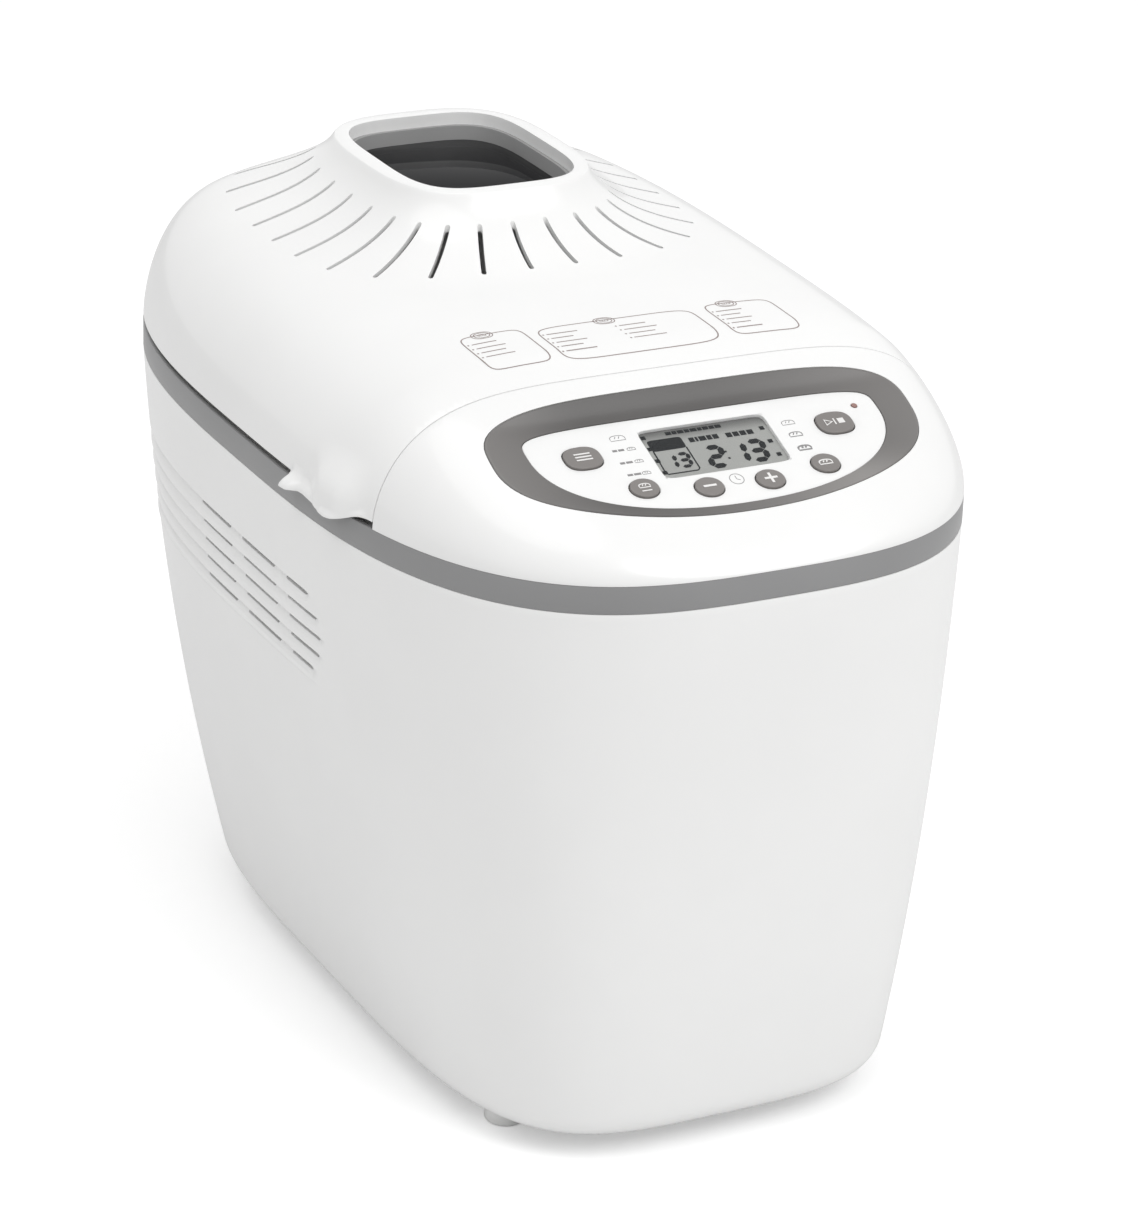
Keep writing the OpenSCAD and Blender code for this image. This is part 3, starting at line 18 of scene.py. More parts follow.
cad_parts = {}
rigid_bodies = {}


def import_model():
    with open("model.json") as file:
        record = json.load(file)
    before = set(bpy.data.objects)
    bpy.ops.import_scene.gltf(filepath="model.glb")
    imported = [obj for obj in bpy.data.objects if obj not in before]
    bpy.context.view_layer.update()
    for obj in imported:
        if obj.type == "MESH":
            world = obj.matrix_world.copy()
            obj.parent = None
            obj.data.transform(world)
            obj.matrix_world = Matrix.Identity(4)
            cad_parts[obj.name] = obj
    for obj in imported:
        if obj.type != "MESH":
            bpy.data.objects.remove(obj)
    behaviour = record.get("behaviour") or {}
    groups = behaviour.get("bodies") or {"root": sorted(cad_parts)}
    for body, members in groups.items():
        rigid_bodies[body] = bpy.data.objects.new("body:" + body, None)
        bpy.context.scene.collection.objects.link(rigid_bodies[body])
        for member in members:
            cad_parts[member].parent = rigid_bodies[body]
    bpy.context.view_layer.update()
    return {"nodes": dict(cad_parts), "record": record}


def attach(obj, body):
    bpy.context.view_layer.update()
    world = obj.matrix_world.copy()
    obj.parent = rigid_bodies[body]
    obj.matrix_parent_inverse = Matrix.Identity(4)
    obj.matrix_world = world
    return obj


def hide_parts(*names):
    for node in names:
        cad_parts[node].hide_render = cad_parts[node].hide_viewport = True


scene = bpy.context.scene
for thing in list(bpy.data.objects):
    bpy.data.objects.remove(thing)
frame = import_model()
nodes = frame["nodes"]
MM = 0.001

# %% [markdown]
# ## Camera
#
# The machine is seen from its front left corner and a little above. A long lens
# keeps the box from looking stretched. The camera rolls by two degrees.

# %% Camera
eye = Vector((-0.84028, -1.65487, 0.95176))
back = Vector((-0.42436, -0.81675, 0.39094)).normalized()
right = Vector((0, 0, 1)).cross(back).normalized()
up = back.cross(right)
roll = math.radians(2.073)
right, up = (math.cos(roll) * right + math.sin(roll) * up,
             math.cos(roll) * up - math.sin(roll) * right)
lens = bpy.data.cameras.new("camera")
lens.sensor_width = 36
lens.lens = 134.7
lens.clip_start, lens.clip_end = 0.05, 50
camera = bpy.data.objects.new("camera", lens)
turn = Matrix((right, up, back)).transposed().to_4x4()
camera.matrix_world = Matrix.Translation(eye) @ turn
scene.collection.objects.link(camera)
scene.camera = camera
print("camera", round((eye - Vector((0, 0, 0.17))).length, 2), "m from the machine")

# %% [markdown]
# ## Shader maths
#
# A finish is a small graph of nodes. Wrapping a socket in a class lets the graph
# be written as Python sums: `1 - mask` adds a Math node. Every other node comes
# from one method, `make`, which sets the node's own settings first and then the
# values or links of its sockets.

# %% Sockets as expressions
class Wire:
    """A shader socket that can stand in a sum."""

    def __init__(self, tree, socket=None):
        self.tree, self.socket = tree, socket

    def make(self, kind, values=None, settings=None, out=0):
        node = self.tree.nodes.new("ShaderNode" + kind)
        for name, value in (settings or {}).items():
            setattr(node, name, value)
        for name, value in (values or {}).items():
            if isinstance(value, Wire):
                self.tree.links.new(value.socket, node.inputs[name])
            else:
                node.inputs[name].default_value = value
        return Wire(self.tree, node.outputs[out]) if node.outputs else None

    def maths(self, operation, *terms):
        return self.make("Math", dict(enumerate(terms)), {"operation": operation})

    def __add__(self, other):
        return self.maths("ADD", self, other)

    __radd__ = __add__

    def __sub__(self, other):
        return self.maths("SUBTRACT", self, other)

    def __rsub__(self, other):
        return self.maths("SUBTRACT", other, self)

    def __mul__(self, other):
        return self.maths("MULTIPLY", self, other)

    __rmul__ = __mul__

    def band(self, low, high):
        """0 below low, 1 above high, smooth between."""
        return self.make("MapRange", {0: self, 1: low, 2: high, 3: 0.0, 4: 1.0},
                         {"interpolation_type": "SMOOTHSTEP"})


def mixed(mask, low, high):
    """Colour that goes from low to high as the mask goes from 0 to 1."""
    colours = [c if isinstance(c, Wire) else (*c, 1) for c in (low, high)]
    return mask.make("Mix", {0: mask, 6: colours[0], 7: colours[1]}, {"data_type": "RGBA"}, 2)


finishes = {}


def graph_of(name):
    """Files a new finish and returns the object coordinates its graph starts from."""
    finishes[name] = bpy.data.materials.new(name)
    finishes[name].use_nodes = True
    tree = finishes[name].node_tree
    tree.nodes.clear()
    return Wire(tree).make("TexCoord", out=3)


def surfaced(place, values):
    """Ends a graph with a Principled surface."""
    place.make("OutputMaterial", {"Surface": place.make("BsdfPrincipled", values)})


def shaded(colour, k):
    return tuple(min(1.0, c * k) for c in colour)


# %% [markdown]
# ## Finishes
#
# Nearly everything outside is injection moulded plastic. The casing has a
# polished mould, so it is glossy with a faint orange peel. The grey trim is
# satin. One recipe makes them all: a cloudy noise moves the tone a little, a fine
# noise gives the grain of the mould, and both also move the roughness. The bezel
# has painted light besides: a mask lightens its grey at both ends and low on the right.

# %% Recipe for moulded plastic and paint
CLOUD_MM = 90
PANEL_AT, PANEL_TILT = (0, -159, 297.4), math.radians(20.9)
# How far the bezel's painted light lifts its grey at the brightest
BEZEL_PAINTED_LIGHT_GAIN = 3.0


def noise(place, size_mm, detail=2.0):
    return place.make("TexNoise", {"Vector": place, "Scale": 1000 / size_mm,
                                   "Detail": detail, "Roughness": 0.55})


def toned(mask, colour, tone):
    """Colour that a mask moves down and up by a share."""
    return mixed(mask, shaded(colour, 1 - tone), shaded(colour, 1 + tone))


def in_panel(place):
    """Object coordinates in the control panel's own frame."""
    return place.make("Mapping", {
        "Vector": place, "Rotation": (PANEL_TILT, 0, 0),
        "Location": tuple(MM * c for c in PANEL_AT)}, {"vector_type": "TEXTURE"})


def millimetres(place, axis):
    """One coordinate of a place in metres, turned to millimetres."""
    return place.make("SeparateXYZ", {"Vector": place}, out=axis) * 1000.0


def bezel_painted_light(place):
    """Painted light mask: 0 at the top of the dish, 1 low on the right, and half way at both ends.
    """
    local = in_panel(place)
    across, up = millimetres(local, 0), millimetres(local, 1)
    ends = (0 - across).band(45, 98) + across.band(0, 115)
    low = (0 - up).band(8, 30) * across.band(-60, 60) * (1 - across.band(50, 90))
    return 0.55 * ends + 0.75 * low


def bumped(height, strength, distance=0.0002):
    return height.make("Bump", {"Height": height, "Strength": strength, "Distance": distance})


def moulded(name, colour, rough, coat, grain, grain_mm, tone, bending=1.5, painted_light_mask=None):
    place = graph_of(name)
    cloud = noise(place, CLOUD_MM, 3.0)
    fine = noise(place, grain_mm)
    base = toned(cloud.band(0.3, 0.7), colour, tone)
    if painted_light_mask:
        # Painted light: where the mask is high, the colour goes over to a lighter copy of itself
        base = mixed(painted_light_mask(place), base, shaded(colour, BEZEL_PAINTED_LIGHT_GAIN))
    roughness = rough * (0.88 + 0.24 * cloud) + 0.05 * (fine - 0.5)
    surfaced(place, {"Base Color": base, "Roughness": roughness, "Normal": bumped(fine, grain),
                     "Coat Weight": coat, "Coat Roughness": 0.06, "IOR": bending})


moulded("casing_white", (0.87, 0.87, 0.865), 0.3, 0.35, 0.03, 2.5, 0.012)
moulded("inner_white", (0.80, 0.80, 0.79), 0.5, 0.0, 0.12, 0.7, 0.03)
moulded("band_grey", (0.26, 0.26, 0.262), 0.42, 0.1, 0.1, 0.5, 0.04)
# The bezel's grey has painted light at both ends and low on the right
moulded("bezel_grey", (0.08, 0.0765, 0.074), 0.4, 0.08, 0.07, 0.5, 0.05,
        painted_light_mask=bezel_painted_light)
moulded("key_grey", (0.2, 0.186, 0.178), 0.4, 0.15, 0.12, 0.35, 0.05)
moulded("frame_grey", (0.31, 0.31, 0.31), 0.4, 0.0, 0.1, 0.6, 0.05)
moulded("print_brown", (0.27, 0.22, 0.21), 0.6, 0.0, 0.05, 0.4, 0.08)
moulded("print_grey", (0.25, 0.245, 0.245), 0.6, 0.0, 0.05, 0.4, 0.08)
moulded("key_white", (0.8, 0.79, 0.78), 0.5, 0.0, 0.05, 0.4, 0.03)
moulded("segment_black", (0.012, 0.013, 0.015), 0.5, 0.0, 0.02, 0.5, 0.1, 1.12)
moulded("nylon_black", (0.03, 0.03, 0.032), 0.5, 0.0, 0.2, 0.5, 0.15)
moulded("belt_rubber", (0.022, 0.022, 0.024), 0.75, 0.0, 0.35, 0.6, 0.2)
moulded("switch_black", (0.035, 0.035, 0.036), 0.45, 0.0, 0.1, 0.4, 0.1)
moulded("lens_red", (0.30, 0.16, 0.14), 0.2, 0.4, 0.02, 0.5, 0.05)
print(len(finishes), "finishes so far")

# %% [markdown]
# Metal shows how it was worked. Rolled sheet has streaks along one direction,
# which come from a noise that is stretched by a Mapping node. Bronze, wire and
# zinc plate are the same recipe in other colours. The pan's coat is dark, a
# little rough and full of fine specks.

# %% Metals and coats
def brushed(name, colour, rough, streak=(1.0, 40.0, 40.0), grain=0.08, tone=0.08):
    place = graph_of(name)
    along = place.make("Mapping", {"Vector": place, "Scale": streak})
    streaks = place.make("TexNoise", {"Vector": along, "Scale": 30.0, "Detail": 4.0})
    roughness = rough * (0.75 + 0.3 * streaks + 0.2 * noise(place, 60, 3.0))
    surfaced(place, {"Base Color": toned(streaks.band(0.3, 0.7), colour, tone),
                     "Roughness": roughness, "Metallic": 1.0,
                     "Normal": bumped(streaks, grain, 0.0003)})


def specked(name, colour, speck, rough, speck_mm=1.2, grain=0.25, metal=0.0):
    place = graph_of(name)
    dots = place.make("TexVoronoi", {"Vector": place, "Scale": 1000 / speck_mm})
    mask = 1 - dots.band(0.12, 0.3)
    cloud = noise(place, 40, 3.0)
    surfaced(place, {"Base Color": mixed(0.7 * mask * cloud, colour, speck),
                     "Roughness": rough * (0.85 + 0.3 * cloud), "Metallic": metal,
                     "Normal": bumped(noise(place, 0.5) + 0.4 * mask, grain)})


brushed("rolled_steel", (0.62, 0.62, 0.61), 0.34)
brushed("zinc_plate", (0.55, 0.57, 0.58), 0.42, (6.0, 6.0, 6.0), 0.12, 0.14)
brushed("turned_steel", (0.58, 0.58, 0.57), 0.26, (20.0, 20.0, 200.0), 0.05)
brushed("bright_wire", (0.66, 0.66, 0.65), 0.2, (60.0, 4.0, 60.0), 0.03)
brushed("bronze", (0.55, 0.38, 0.2), 0.38, (20.0, 20.0, 120.0), 0.06)
brushed("cast_zinc", (0.42, 0.42, 0.42), 0.48, (10.0, 10.0, 10.0), 0.2, 0.1)
brushed("element_sheath", (0.25, 0.23, 0.22), 0.5, (12.0, 12.0, 12.0), 0.1, 0.2)
specked("pan_coat", (0.035, 0.035, 0.037), (0.16, 0.16, 0.17), 0.42)
brushed("pan_metal", (0.5, 0.5, 0.5), 0.36, (4.0, 4.0, 80.0), 0.08)
specked("board_green", (0.012, 0.09, 0.035), (0.3, 0.28, 0.2), 0.4, 3.2, 0.1)
specked("coil_iron", (0.09, 0.09, 0.095), (0.3, 0.14, 0.05), 0.5, 2.0, 0.3, 0.6)
specked("motor_can", (0.30, 0.31, 0.32), (0.45, 0.45, 0.46), 0.45, 1.6, 0.2, 0.8)
moulded("capacitor_can", (0.62, 0.62, 0.6), 0.4, 0.1, 0.1, 0.8, 0.05)

# %% [markdown]
# Glass is clear plastic or tempered glass, seen here as a thin tint over what
# lies under it: low alpha, very smooth, with the gloss of its front face. The
# viewing window is smoked, so its alpha is high.

# %% Glass
def glazed(name, colour, alpha, rough, bending=1.5):
    place = graph_of(name)
    haze = noise(place, 30, 3.0)
    surfaced(place, {"Base Color": toned(haze, colour, 0.05), "IOR": bending,
                     "Roughness": rough * (0.6 + 0.8 * haze),
                     "Alpha": alpha + 0.03 * (haze - 0.5)})


glazed("smoked_glass", (0.012, 0.012, 0.013), 0.93, 0.05, 1.1)
glazed("clear_glass", (0.5, 0.52, 0.52), 0.25, 0.04)
glazed("clear_lens", (0.25, 0.26, 0.26), 0.05, 0.06)
print(len(finishes), "finishes")

# %% [markdown]
# ## Outlines
#
# The machine is a barrel with a rounded oblong plan, a superellipse: a curve
# whose squareness is one number. All the mouldings share that plan, so one
# function draws it, and a second one spaces points evenly round it. The display
# panel's outline has a flatter top than bottom, and so its halves differ.

# %% Superellipse outlines
HALF_W, HALF_D, PLAN_SQUARE = 140.0, 217.5, 3.02
RIM_Z, BAND_TOP, LID_BOTTOM = 254.0, 266.0, 269.0
FOOT_H, BASE_ROUND, WALL = 8.0, 12.0, 2.6
WINDOW_Y = 82.0
CHIMNEY_TOP = 351.0
SPLIT_Y = -119.0


def round_line(a, b, square, yc=0.0, low=None, low_square=None):
    """Dense points of the outline, counted round from its +X side."""
    t = np.arange(3600) * np.pi / 1800
    above = np.sin(t) >= 0
    reach = np.where(above, b, low or b)
    n = np.where(above, square, low_square or square)
    r = (np.abs(np.cos(t) / a) ** n + np.abs(np.sin(t) / reach) ** n) ** (-1 / n)
    return np.column_stack([r * np.cos(t), yc + r * np.sin(t)])


def plan_line(inset):
    return round_line(HALF_W - inset, HALF_D - inset, PLAN_SQUARE)


def measured(line):
    """The line closed, and the length run up to each of its points."""
    loop = np.vstack([line, line[:1]])
    return loop, np.r_[0, np.cumsum(np.hypot(*np.diff(loop, axis=0).T))]


def spaced(line, shares):
    """Points at the given shares of a closed line's length."""
    loop, run = measured(line)
    at = np.asarray(shares) * run[-1]
    return np.column_stack([np.interp(at, run, loop[:, k]) for k in (0, 1)])


def even(count):
    return np.arange(count) / count


def clamped(t):
    return min(1, max(0, t))


def smooth(t):
    return t * t * (3 - 2 * t)


rim_line = plan_line(0)
print("round the rim:", round(measured(rim_line)[1][-1]), "mm")

# %% [markdown]
# ## Dome
#
# The lid and the front housing are one dome that was cut in two, so both take
# their height from one function. A crown line runs from front to back, and each
# cross-section is a superellipse with broad shoulders. The chimney rises from
# the dome with a hollow flare: the height grows steeply near the rim.

# %% Heights over the plan
CROWN, CROWN_RISE = 60, 3
FRONT_RUN, FRONT_POWER = 121, 1.33
REAR_RUN, REAR_POWER = 79, 1.9
FLATNESS, SHOULDER = 5.2, 1.78


def plan_half(y):
    share = (np.abs(y) / HALF_D) ** PLAN_SQUARE
    return HALF_W * np.maximum(0, 1 - share) ** (1 / PLAN_SQUARE)


def end_fall(y, run, power):
    """1 over the middle, falling to 0 over the last run before the end of the plan."""
    near = np.clip((y - HALF_D + run) / run, 0, 1)
    return (1 - near ** power) ** (1 / power)


def crown(y):
    return ((CROWN + CROWN_RISE * y / 100) * end_fall(-y, FRONT_RUN, FRONT_POWER)
            * end_fall(y, REAR_RUN, REAR_POWER))


def dome_z(x, y):
    u = np.minimum(1, np.abs(x) / np.maximum(0.01, plan_half(y)))
    return BAND_TOP + crown(y) * (1 - u ** FLATNESS) ** (1 / SHOULDER)


def dome_at(x, y):
    return float(dome_z(np.array([x]), np.array([y]))[0])


TUBE_A, TUBE_B, TUBE_SQUARE = 40.0, 52.5, 3.9
RIM_A, RIM_B, RIM_SQUARE = TUBE_A + 7.5, TUBE_B + 7.5, 3.1
FLARE_RUN, FLARE_LEAD, RIM_SOFT = 45.0, 1.1, 1.2


def rim_distance(x, y):
    d = np.zeros_like(x)
    for _ in range(8):
        u = np.abs(x) / (RIM_A + d)
        v = np.abs(y - WINDOW_Y) / (RIM_B + FLARE_LEAD * d)
        off = (u ** RIM_SQUARE + v ** RIM_SQUARE) ** (1 / RIM_SQUARE) - 1
        d = np.maximum(0, d + off * (RIM_A + d))
    return d


def lid_z(x, y):
    base = dome_z(x, y)
    away = np.hypot(rim_distance(x, y), RIM_SOFT) - RIM_SOFT
    share = np.maximum(0, 1 - (away / FLARE_RUN) ** 0.7) ** 2
    return base + (CHIMNEY_TOP - base) * share


print("crown over the split:", round(dome_at(0, SPLIT_Y), 1))

# %% [markdown]
# ## Modelling helpers
#
# A moulding is lofted by extruding its first outline from ring to ring, as one
# would with E in edit mode. `finished` turns a bmesh into an object: it scales it
# to metres, thickens, cuts and rounds it with modifiers, applies them, shades it
# smooth with sharp edges kept by angle, and lets it ride on its body.

# %% Loft
def onward(loop):
    """Pairs of neighbours round a closed loop."""
    return zip(loop, loop[1:] + loop[:1])


def verts_of(made):
    return [v for v in made["geom"] if isinstance(v, bmesh.types.BMVert)]


def extruded(bm, loop, points):
    """Extrudes a ring of vertices and moves the new ring to its points."""
    edges = [bm.edges.get(pair) for pair in onward(loop)]
    here = {v.co.to_tuple(4): v for v in verts_of(bmesh.ops.extrude_edge_only(bm, edges=edges))}
    ring = [here[v.co.to_tuple(4)] for v in loop]
    for v, p in zip(ring, points):
        v.co = p
    return ring


def ring_of(bm, points):
    """Closed ring of new vertices, and its edges."""
    ring = [bm.verts.new(p) for p in points]
    return ring, [bm.edges.new(pair) for pair in onward(ring)]


def loft(bm, rings):
    """Extrudes the first ring through the others and returns the rings' vertices."""
    loops = [ring_of(bm, rings[0])[0]]
    for points in rings[1:]:
        loops.append(extruded(bm, loops[-1], points))
    return loops


def at_height(line, z):
    """Ring of 3-D points from a plan line and a height or heights."""
    return np.column_stack([line, np.broadcast_to(z, len(line))])


def faces_agree(bm):
    bmesh.ops.recalc_face_normals(bm, faces=bm.faces)


def faces_out(bm):
    """Points every face away from the mesh's middle."""
    faces_agree(bm)
    middle = sum((v.co for v in bm.verts), Vector()) / len(bm.verts)
    side = sum((f.calc_center_median() - middle).dot(f.normal) * f.calc_area() for f in bm.faces)
    if side < 0:
        bmesh.ops.reverse_faces(bm, faces=bm.faces)


# %% Finish a piece
def scene_object(bm, name, place=Matrix()):
    bmesh.ops.transform(bm, matrix=place, verts=bm.verts)
    bmesh.ops.scale(bm, vec=(MM, MM, MM), verts=bm.verts)
    mesh = bpy.data.meshes.new(name)
    bm.to_mesh(mesh)
    bm.free()
    thing = bpy.data.objects.new(name, mesh)
    scene.collection.objects.link(thing)
    return thing


def cutter(bm, name):
    faces_agree(bm)
    return scene_object(bm, name)


def finished(bm, name, body, finish, stands_for=(), thick=0.0, rounding=0.0, cutters=(),
             angle=38, steps=3, place=Matrix()):
    thing = scene_object(bm, name, place)
    if thick:
        wall = thing.modifiers.new("wall", "SOLIDIFY")
        wall.thickness, wall.offset = thick * MM, -1
        wall.use_even_offset = True
    if rounding:
        edge = thing.modifiers.new("edge", "BEVEL")
        edge.width, edge.segments, edge.limit_method = rounding * MM, steps, "ANGLE"
        edge.angle_limit = math.radians(angle)
        edge.use_clamp_overlap = True
    for tool in cutters:
        cut = thing.modifiers.new("cut", "BOOLEAN")
        cut.object, cut.operation, cut.solver = tool, "DIFFERENCE", "EXACT"
    if thing.modifiers:
        depsgraph = bpy.context.evaluated_depsgraph_get()
        applied = bpy.data.meshes.new_from_object(thing.evaluated_get(depsgraph))
        thing.modifiers.clear()
        thing.data = applied
    for tool in cutters:
        bpy.data.objects.remove(tool)
    thing.data.shade_smooth()
    thing.data.set_sharp_from_angle(angle=math.radians(angle))
    thing.data.materials.clear()
    thing.data.materials.append(finishes[finish])
    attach(thing, body)
    if stands_for:
        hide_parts(*stands_for)
    print(name, len(thing.data.polygons), "faces")


def raised(bm, faces, rise):
    """Extrudes flat faces along Z and returns the vertices that moved."""
    moved = verts_of(bmesh.ops.extrude_face_region(bm, geom=faces))
    bmesh.ops.translate(bm, vec=(0, 0, rise), verts=moved)
    return moved


def prism(bm, line, low, high, place=Matrix()):
    """Upright block with the given outline, then moved by a matrix."""
    face = bm.faces.new([bm.verts.new((x, y, low)) for x, y in line])
    top = raised(bm, [face], high - low)
    bmesh.ops.transform(bm, matrix=place, verts=list({*face.verts, *top}))


def slot_line(half, width):
    """Outline of a slot with round ends, lying along X."""
    t = np.linspace(-np.pi / 2, np.pi / 2, 6)
    end = np.column_stack([half - width + width * np.cos(t), width * np.sin(t)])
    return np.vstack([end, -end])


# %% [markdown]
# ## Body shell
#
# The casing below the band is one moulding that swells upwards like a barrel. Its
# rings follow the plan's half sizes, squareness and centre as they change with
# height, and the bottom edge is rounded. Rings lie close together at the cooling
# louvres, because those are part of the surface: under each slot the wall leans
# in, so the slot has a lip over it.

# %% Body outlines by height
BASE_A, BASE_B, BASE_SQUARE, BASE_MIDDLE = 104.5, 179, 3.97, -21
BULGE, LIP_W = 0.142, 4.7


def body_sizes(z):
    """Half width, half depth, squareness and middle of the plan at a height."""
    s = (z - FOOT_H) / (RIM_Z - FOOT_H)
    w = s + BULGE * 4 * s * (1 - s)
    return (BASE_A + (HALF_W - BASE_A) * w, BASE_B + (HALF_D - BASE_B) * w,
            BASE_SQUARE - 0.95 * w, BASE_MIDDLE * (1 - w))


def body_line(z):
    a, b, n, middle = body_sizes(z)
    h = max(0.0, FOOT_H + BASE_ROUND - z)
    d = BASE_ROUND - math.sqrt(BASE_ROUND ** 2 - h * h)
    return round_line(a - d, b - d, n, middle)


def side_wall_x(y, z):
    a, b, n, middle = body_sizes(z)
    return a * (1 - (abs(y - middle) / b) ** n) ** (1 / n)


# %% Louvres
LOUVRE_PITCH, LOUVRE_DEPTH, SLOT_DROP = 8.6, 2.4, 0.9
LOUVRE_LOW, LOUVRE_HIGH = 174, 219
QUARTER = math.radians(90)
louvre_zs = [RIM_Z - 37.1 - LOUVRE_PITCH * k for k in range(5)]
louvre_fronts = [-70.5 + 9.5 * ((k - 2) / 2) ** 2 for k in range(5)]
SILL_Z = louvre_zs[-1] - 4.6


def louvre_depth(x, y, z):
    """How far the wall leans in at a point of the body's surface."""
    end = clamped((abs(x) - 84) / 6) if y > 0 else 1
    depth = 0.0
    for row_z, front in zip(louvre_zs, louvre_fronts):
        dz = z - row_z
        lip = clamped((1.4 - dz) / 0.5)
        slope = max(0, 1 - max(0, -0.8 - dz) / 6.1) ** 2
        start = clamped((y - front + 5) / 4)
        depth = max(depth, lip * slope * start)
    sill = max(0, 1 - ((z - SILL_Z) / 1.3) ** 2) * clamped((y + 68) / 5)
    return (LOUVRE_DEPTH * depth - 0.7 * sill) * smooth(end)


body_around = even(340)
zs = np.unique(np.round(np.concatenate([
    FOOT_H + BASE_ROUND * (1 - np.cos(np.linspace(0, np.pi / 2, 12))),
    np.linspace(FOOT_H + BASE_ROUND, LOUVRE_LOW, 36),
    np.arange(LOUVRE_LOW, LOUVRE_HIGH + 0.1, 0.65), np.linspace(LOUVRE_HIGH, RIM_Z, 12)]), 3))
body = bmesh.new()
lip_in = BASE_ROUND + LIP_W
foot_lip = round_line(BASE_A - lip_in, BASE_B - lip_in, BASE_SQUARE, BASE_MIDDLE)
loft(body, [at_height(spaced(foot_lip, body_around), FOOT_H)]
     + [at_height(spaced(body_line(z), body_around), z) for z in zs])
faces_out(body)
for v in body.verts:
    if LOUVRE_LOW < v.co.z < LOUVRE_HIGH:
        flat = Vector((v.normal.x, v.normal.y, 0)).normalized()
        v.co -= flat * louvre_depth(*v.co)

# %% Slots through the louvres, and the body piece
slots = bmesh.new()
for side in (-1, 1):
    for row_z, front in zip(louvre_zs, louvre_fronts):
        for y0, y1 in ((front, -40.4), (-28.4, 6.4), (18.8, 52)):
            middle = (y0 + y1) / 2
            wall_x = side_wall_x(middle, row_z)
            yaw = (side_wall_x(y1, row_z) - side_wall_x(y0, row_z)) / (y1 - y0)
            place = (Matrix.Translation((side * (wall_x - 1.2), middle, row_z - SLOT_DROP))
                     @ Matrix.Rotation(-side * math.atan(yaw), 4, "Z")
                     @ Matrix.Rotation(QUARTER, 4, "Z") @ Matrix.Rotation(QUARTER, 4, "X"))
            prism(slots, slot_line((y1 - y0) / 2, 0.9), -5, 5, place)
finished(body, "body_moulding", "base", "casing_white", ["body_shell"], thick=WALL,
         rounding=0.5, cutters=[cutter(slots, "slots")], steps=2, angle=50)

# %% [markdown]
# ## Grey band
#
# A plain grey ring separates body and lid. Its edges are rounded a little, so
# that a fine line shows on either side of it. An inner ledge carries the deck.

# %% Band
def ring_band(bm, outside, inside, low, high):
    """Ring between two insets from the rim's plan."""
    o, i = (spaced(plan_line(inset), even(300)) for inset in (outside, inside))
    loops = loft(bm, [at_height(*ring) for ring in ((o, low), (o, high), (i, high), (i, low))])
    bmesh.ops.bridge_loops(bm, edges=[bm.edges.get(pair) for loop in (loops[0], loops[-1])
                                      for pair in onward(loop)])


LEDGE_IN, LEDGE_Z = 6.6, 258.3
band = bmesh.new()
ring_band(band, 0, WALL, RIM_Z, BAND_TOP)
ring_band(band, WALL, LEDGE_IN, LEDGE_Z, LEDGE_Z + 3)
ring_band(band, 3.9, LEDGE_IN, 247, LEDGE_Z)
faces_agree(band)
finished(band, "band_ring", "base", "band_grey", ["rim_band"], rounding=0.6,
         steps=2)

# %% [markdown]
# ## Lid
#
# The lid's skin is lofted from the rim's plan inwards and upwards to the
# chimney's rim, on the dome's height. Rings are close together at the steep side.
# The front is cut off by a plane and closed with a wall, and the bottom is
# trimmed level. The steam slots are cut out with one cutter, a fan of narrow
# prisms round the chimney, and two more make room for the hinges at the rear.

# %% Skin of the dome
def dome_skin(bm, heights, inner_line, count_around, pull=1.0):
    """Rings from the rim in to a line, close together where the side is steep."""
    low = (np.linspace(0, 0.86, 26) ** SHOULDER) / FLATNESS
    top = 1 - (1 - low[-1]) * (1 - np.linspace(0, 1, 70)) ** pull
    shares = np.concatenate([low, top[1:]])
    edge, goal = spaced(rim_line, count_around), spaced(inner_line, count_around)
    rings = []
    for s in shares:
        line = edge * (1 - s) + goal * s
        rings.append(at_height(line, heights(line[:, 0], line[:, 1])))
    return loft(bm, rings)


def trimmed(bm, point, normal, clear=True):
    """Cuts away what lies in front of a plane and returns the edges left on it."""
    geom = bm.verts[:] + bm.edges[:] + bm.faces[:]
    made = bmesh.ops.bisect_plane(bm, geom=geom, dist=0.001, plane_co=point, plane_no=normal,
                                  clear_outer=clear)
    return [e for e in made["geom_cut"] if isinstance(e, bmesh.types.BMEdge)]


def walled(bm, edges):
    """Closes the arch that a cut left with one flat face."""
    ends = [v for v in {v for e in edges for v in e.verts}
            if sum(e in edges for e in v.link_edges) == 1]
    bottom = bm.edges.new(ends)
    bmesh.ops.contextual_create(bm, geom=edges + [bottom])


DOME_COUNT = 420


def crowded(places):
    """Shares round the rim, five times closer together near some places."""
    s = np.linspace(0, 1, 4001)
    density = 1 + sum(4.0 * np.exp(-((s - at) / 0.035) ** 2) for at in places)
    run = np.r_[0, np.cumsum((density[1:] + density[:-1]) / 2)]
    return np.interp(even(DOME_COUNT), run / run[-1], s)


def rim_share(x, y):
    """Where along the rim's length a place is."""
    run = measured(rim_line)[1]
    return run[np.argmin(np.hypot(*(rim_line - (x, y)).T))] / run[-1]


lid_around = crowded([rim_share(side * 138, -84) for side in (-1, 1)])
print("points round the lid:", len(lid_around))

# %% [markdown]
# The finger grips are swellings of the lid's own side wall. Each is a lobe that
# bulges out over the band, with a nose that points back and gives the fingertip
# its hold. Moving the skin's vertices keeps the blend into the dome seamless.

# %% Grips
def swell(along, low, high, soft_low, soft_high):
    """1 between low and high, fading smoothly outside them."""
    rise = clamped((along - low + soft_low) / soft_low)
    fall = clamped((high + soft_high - along) / soft_high)
    return smooth(rise) * smooth(fall)


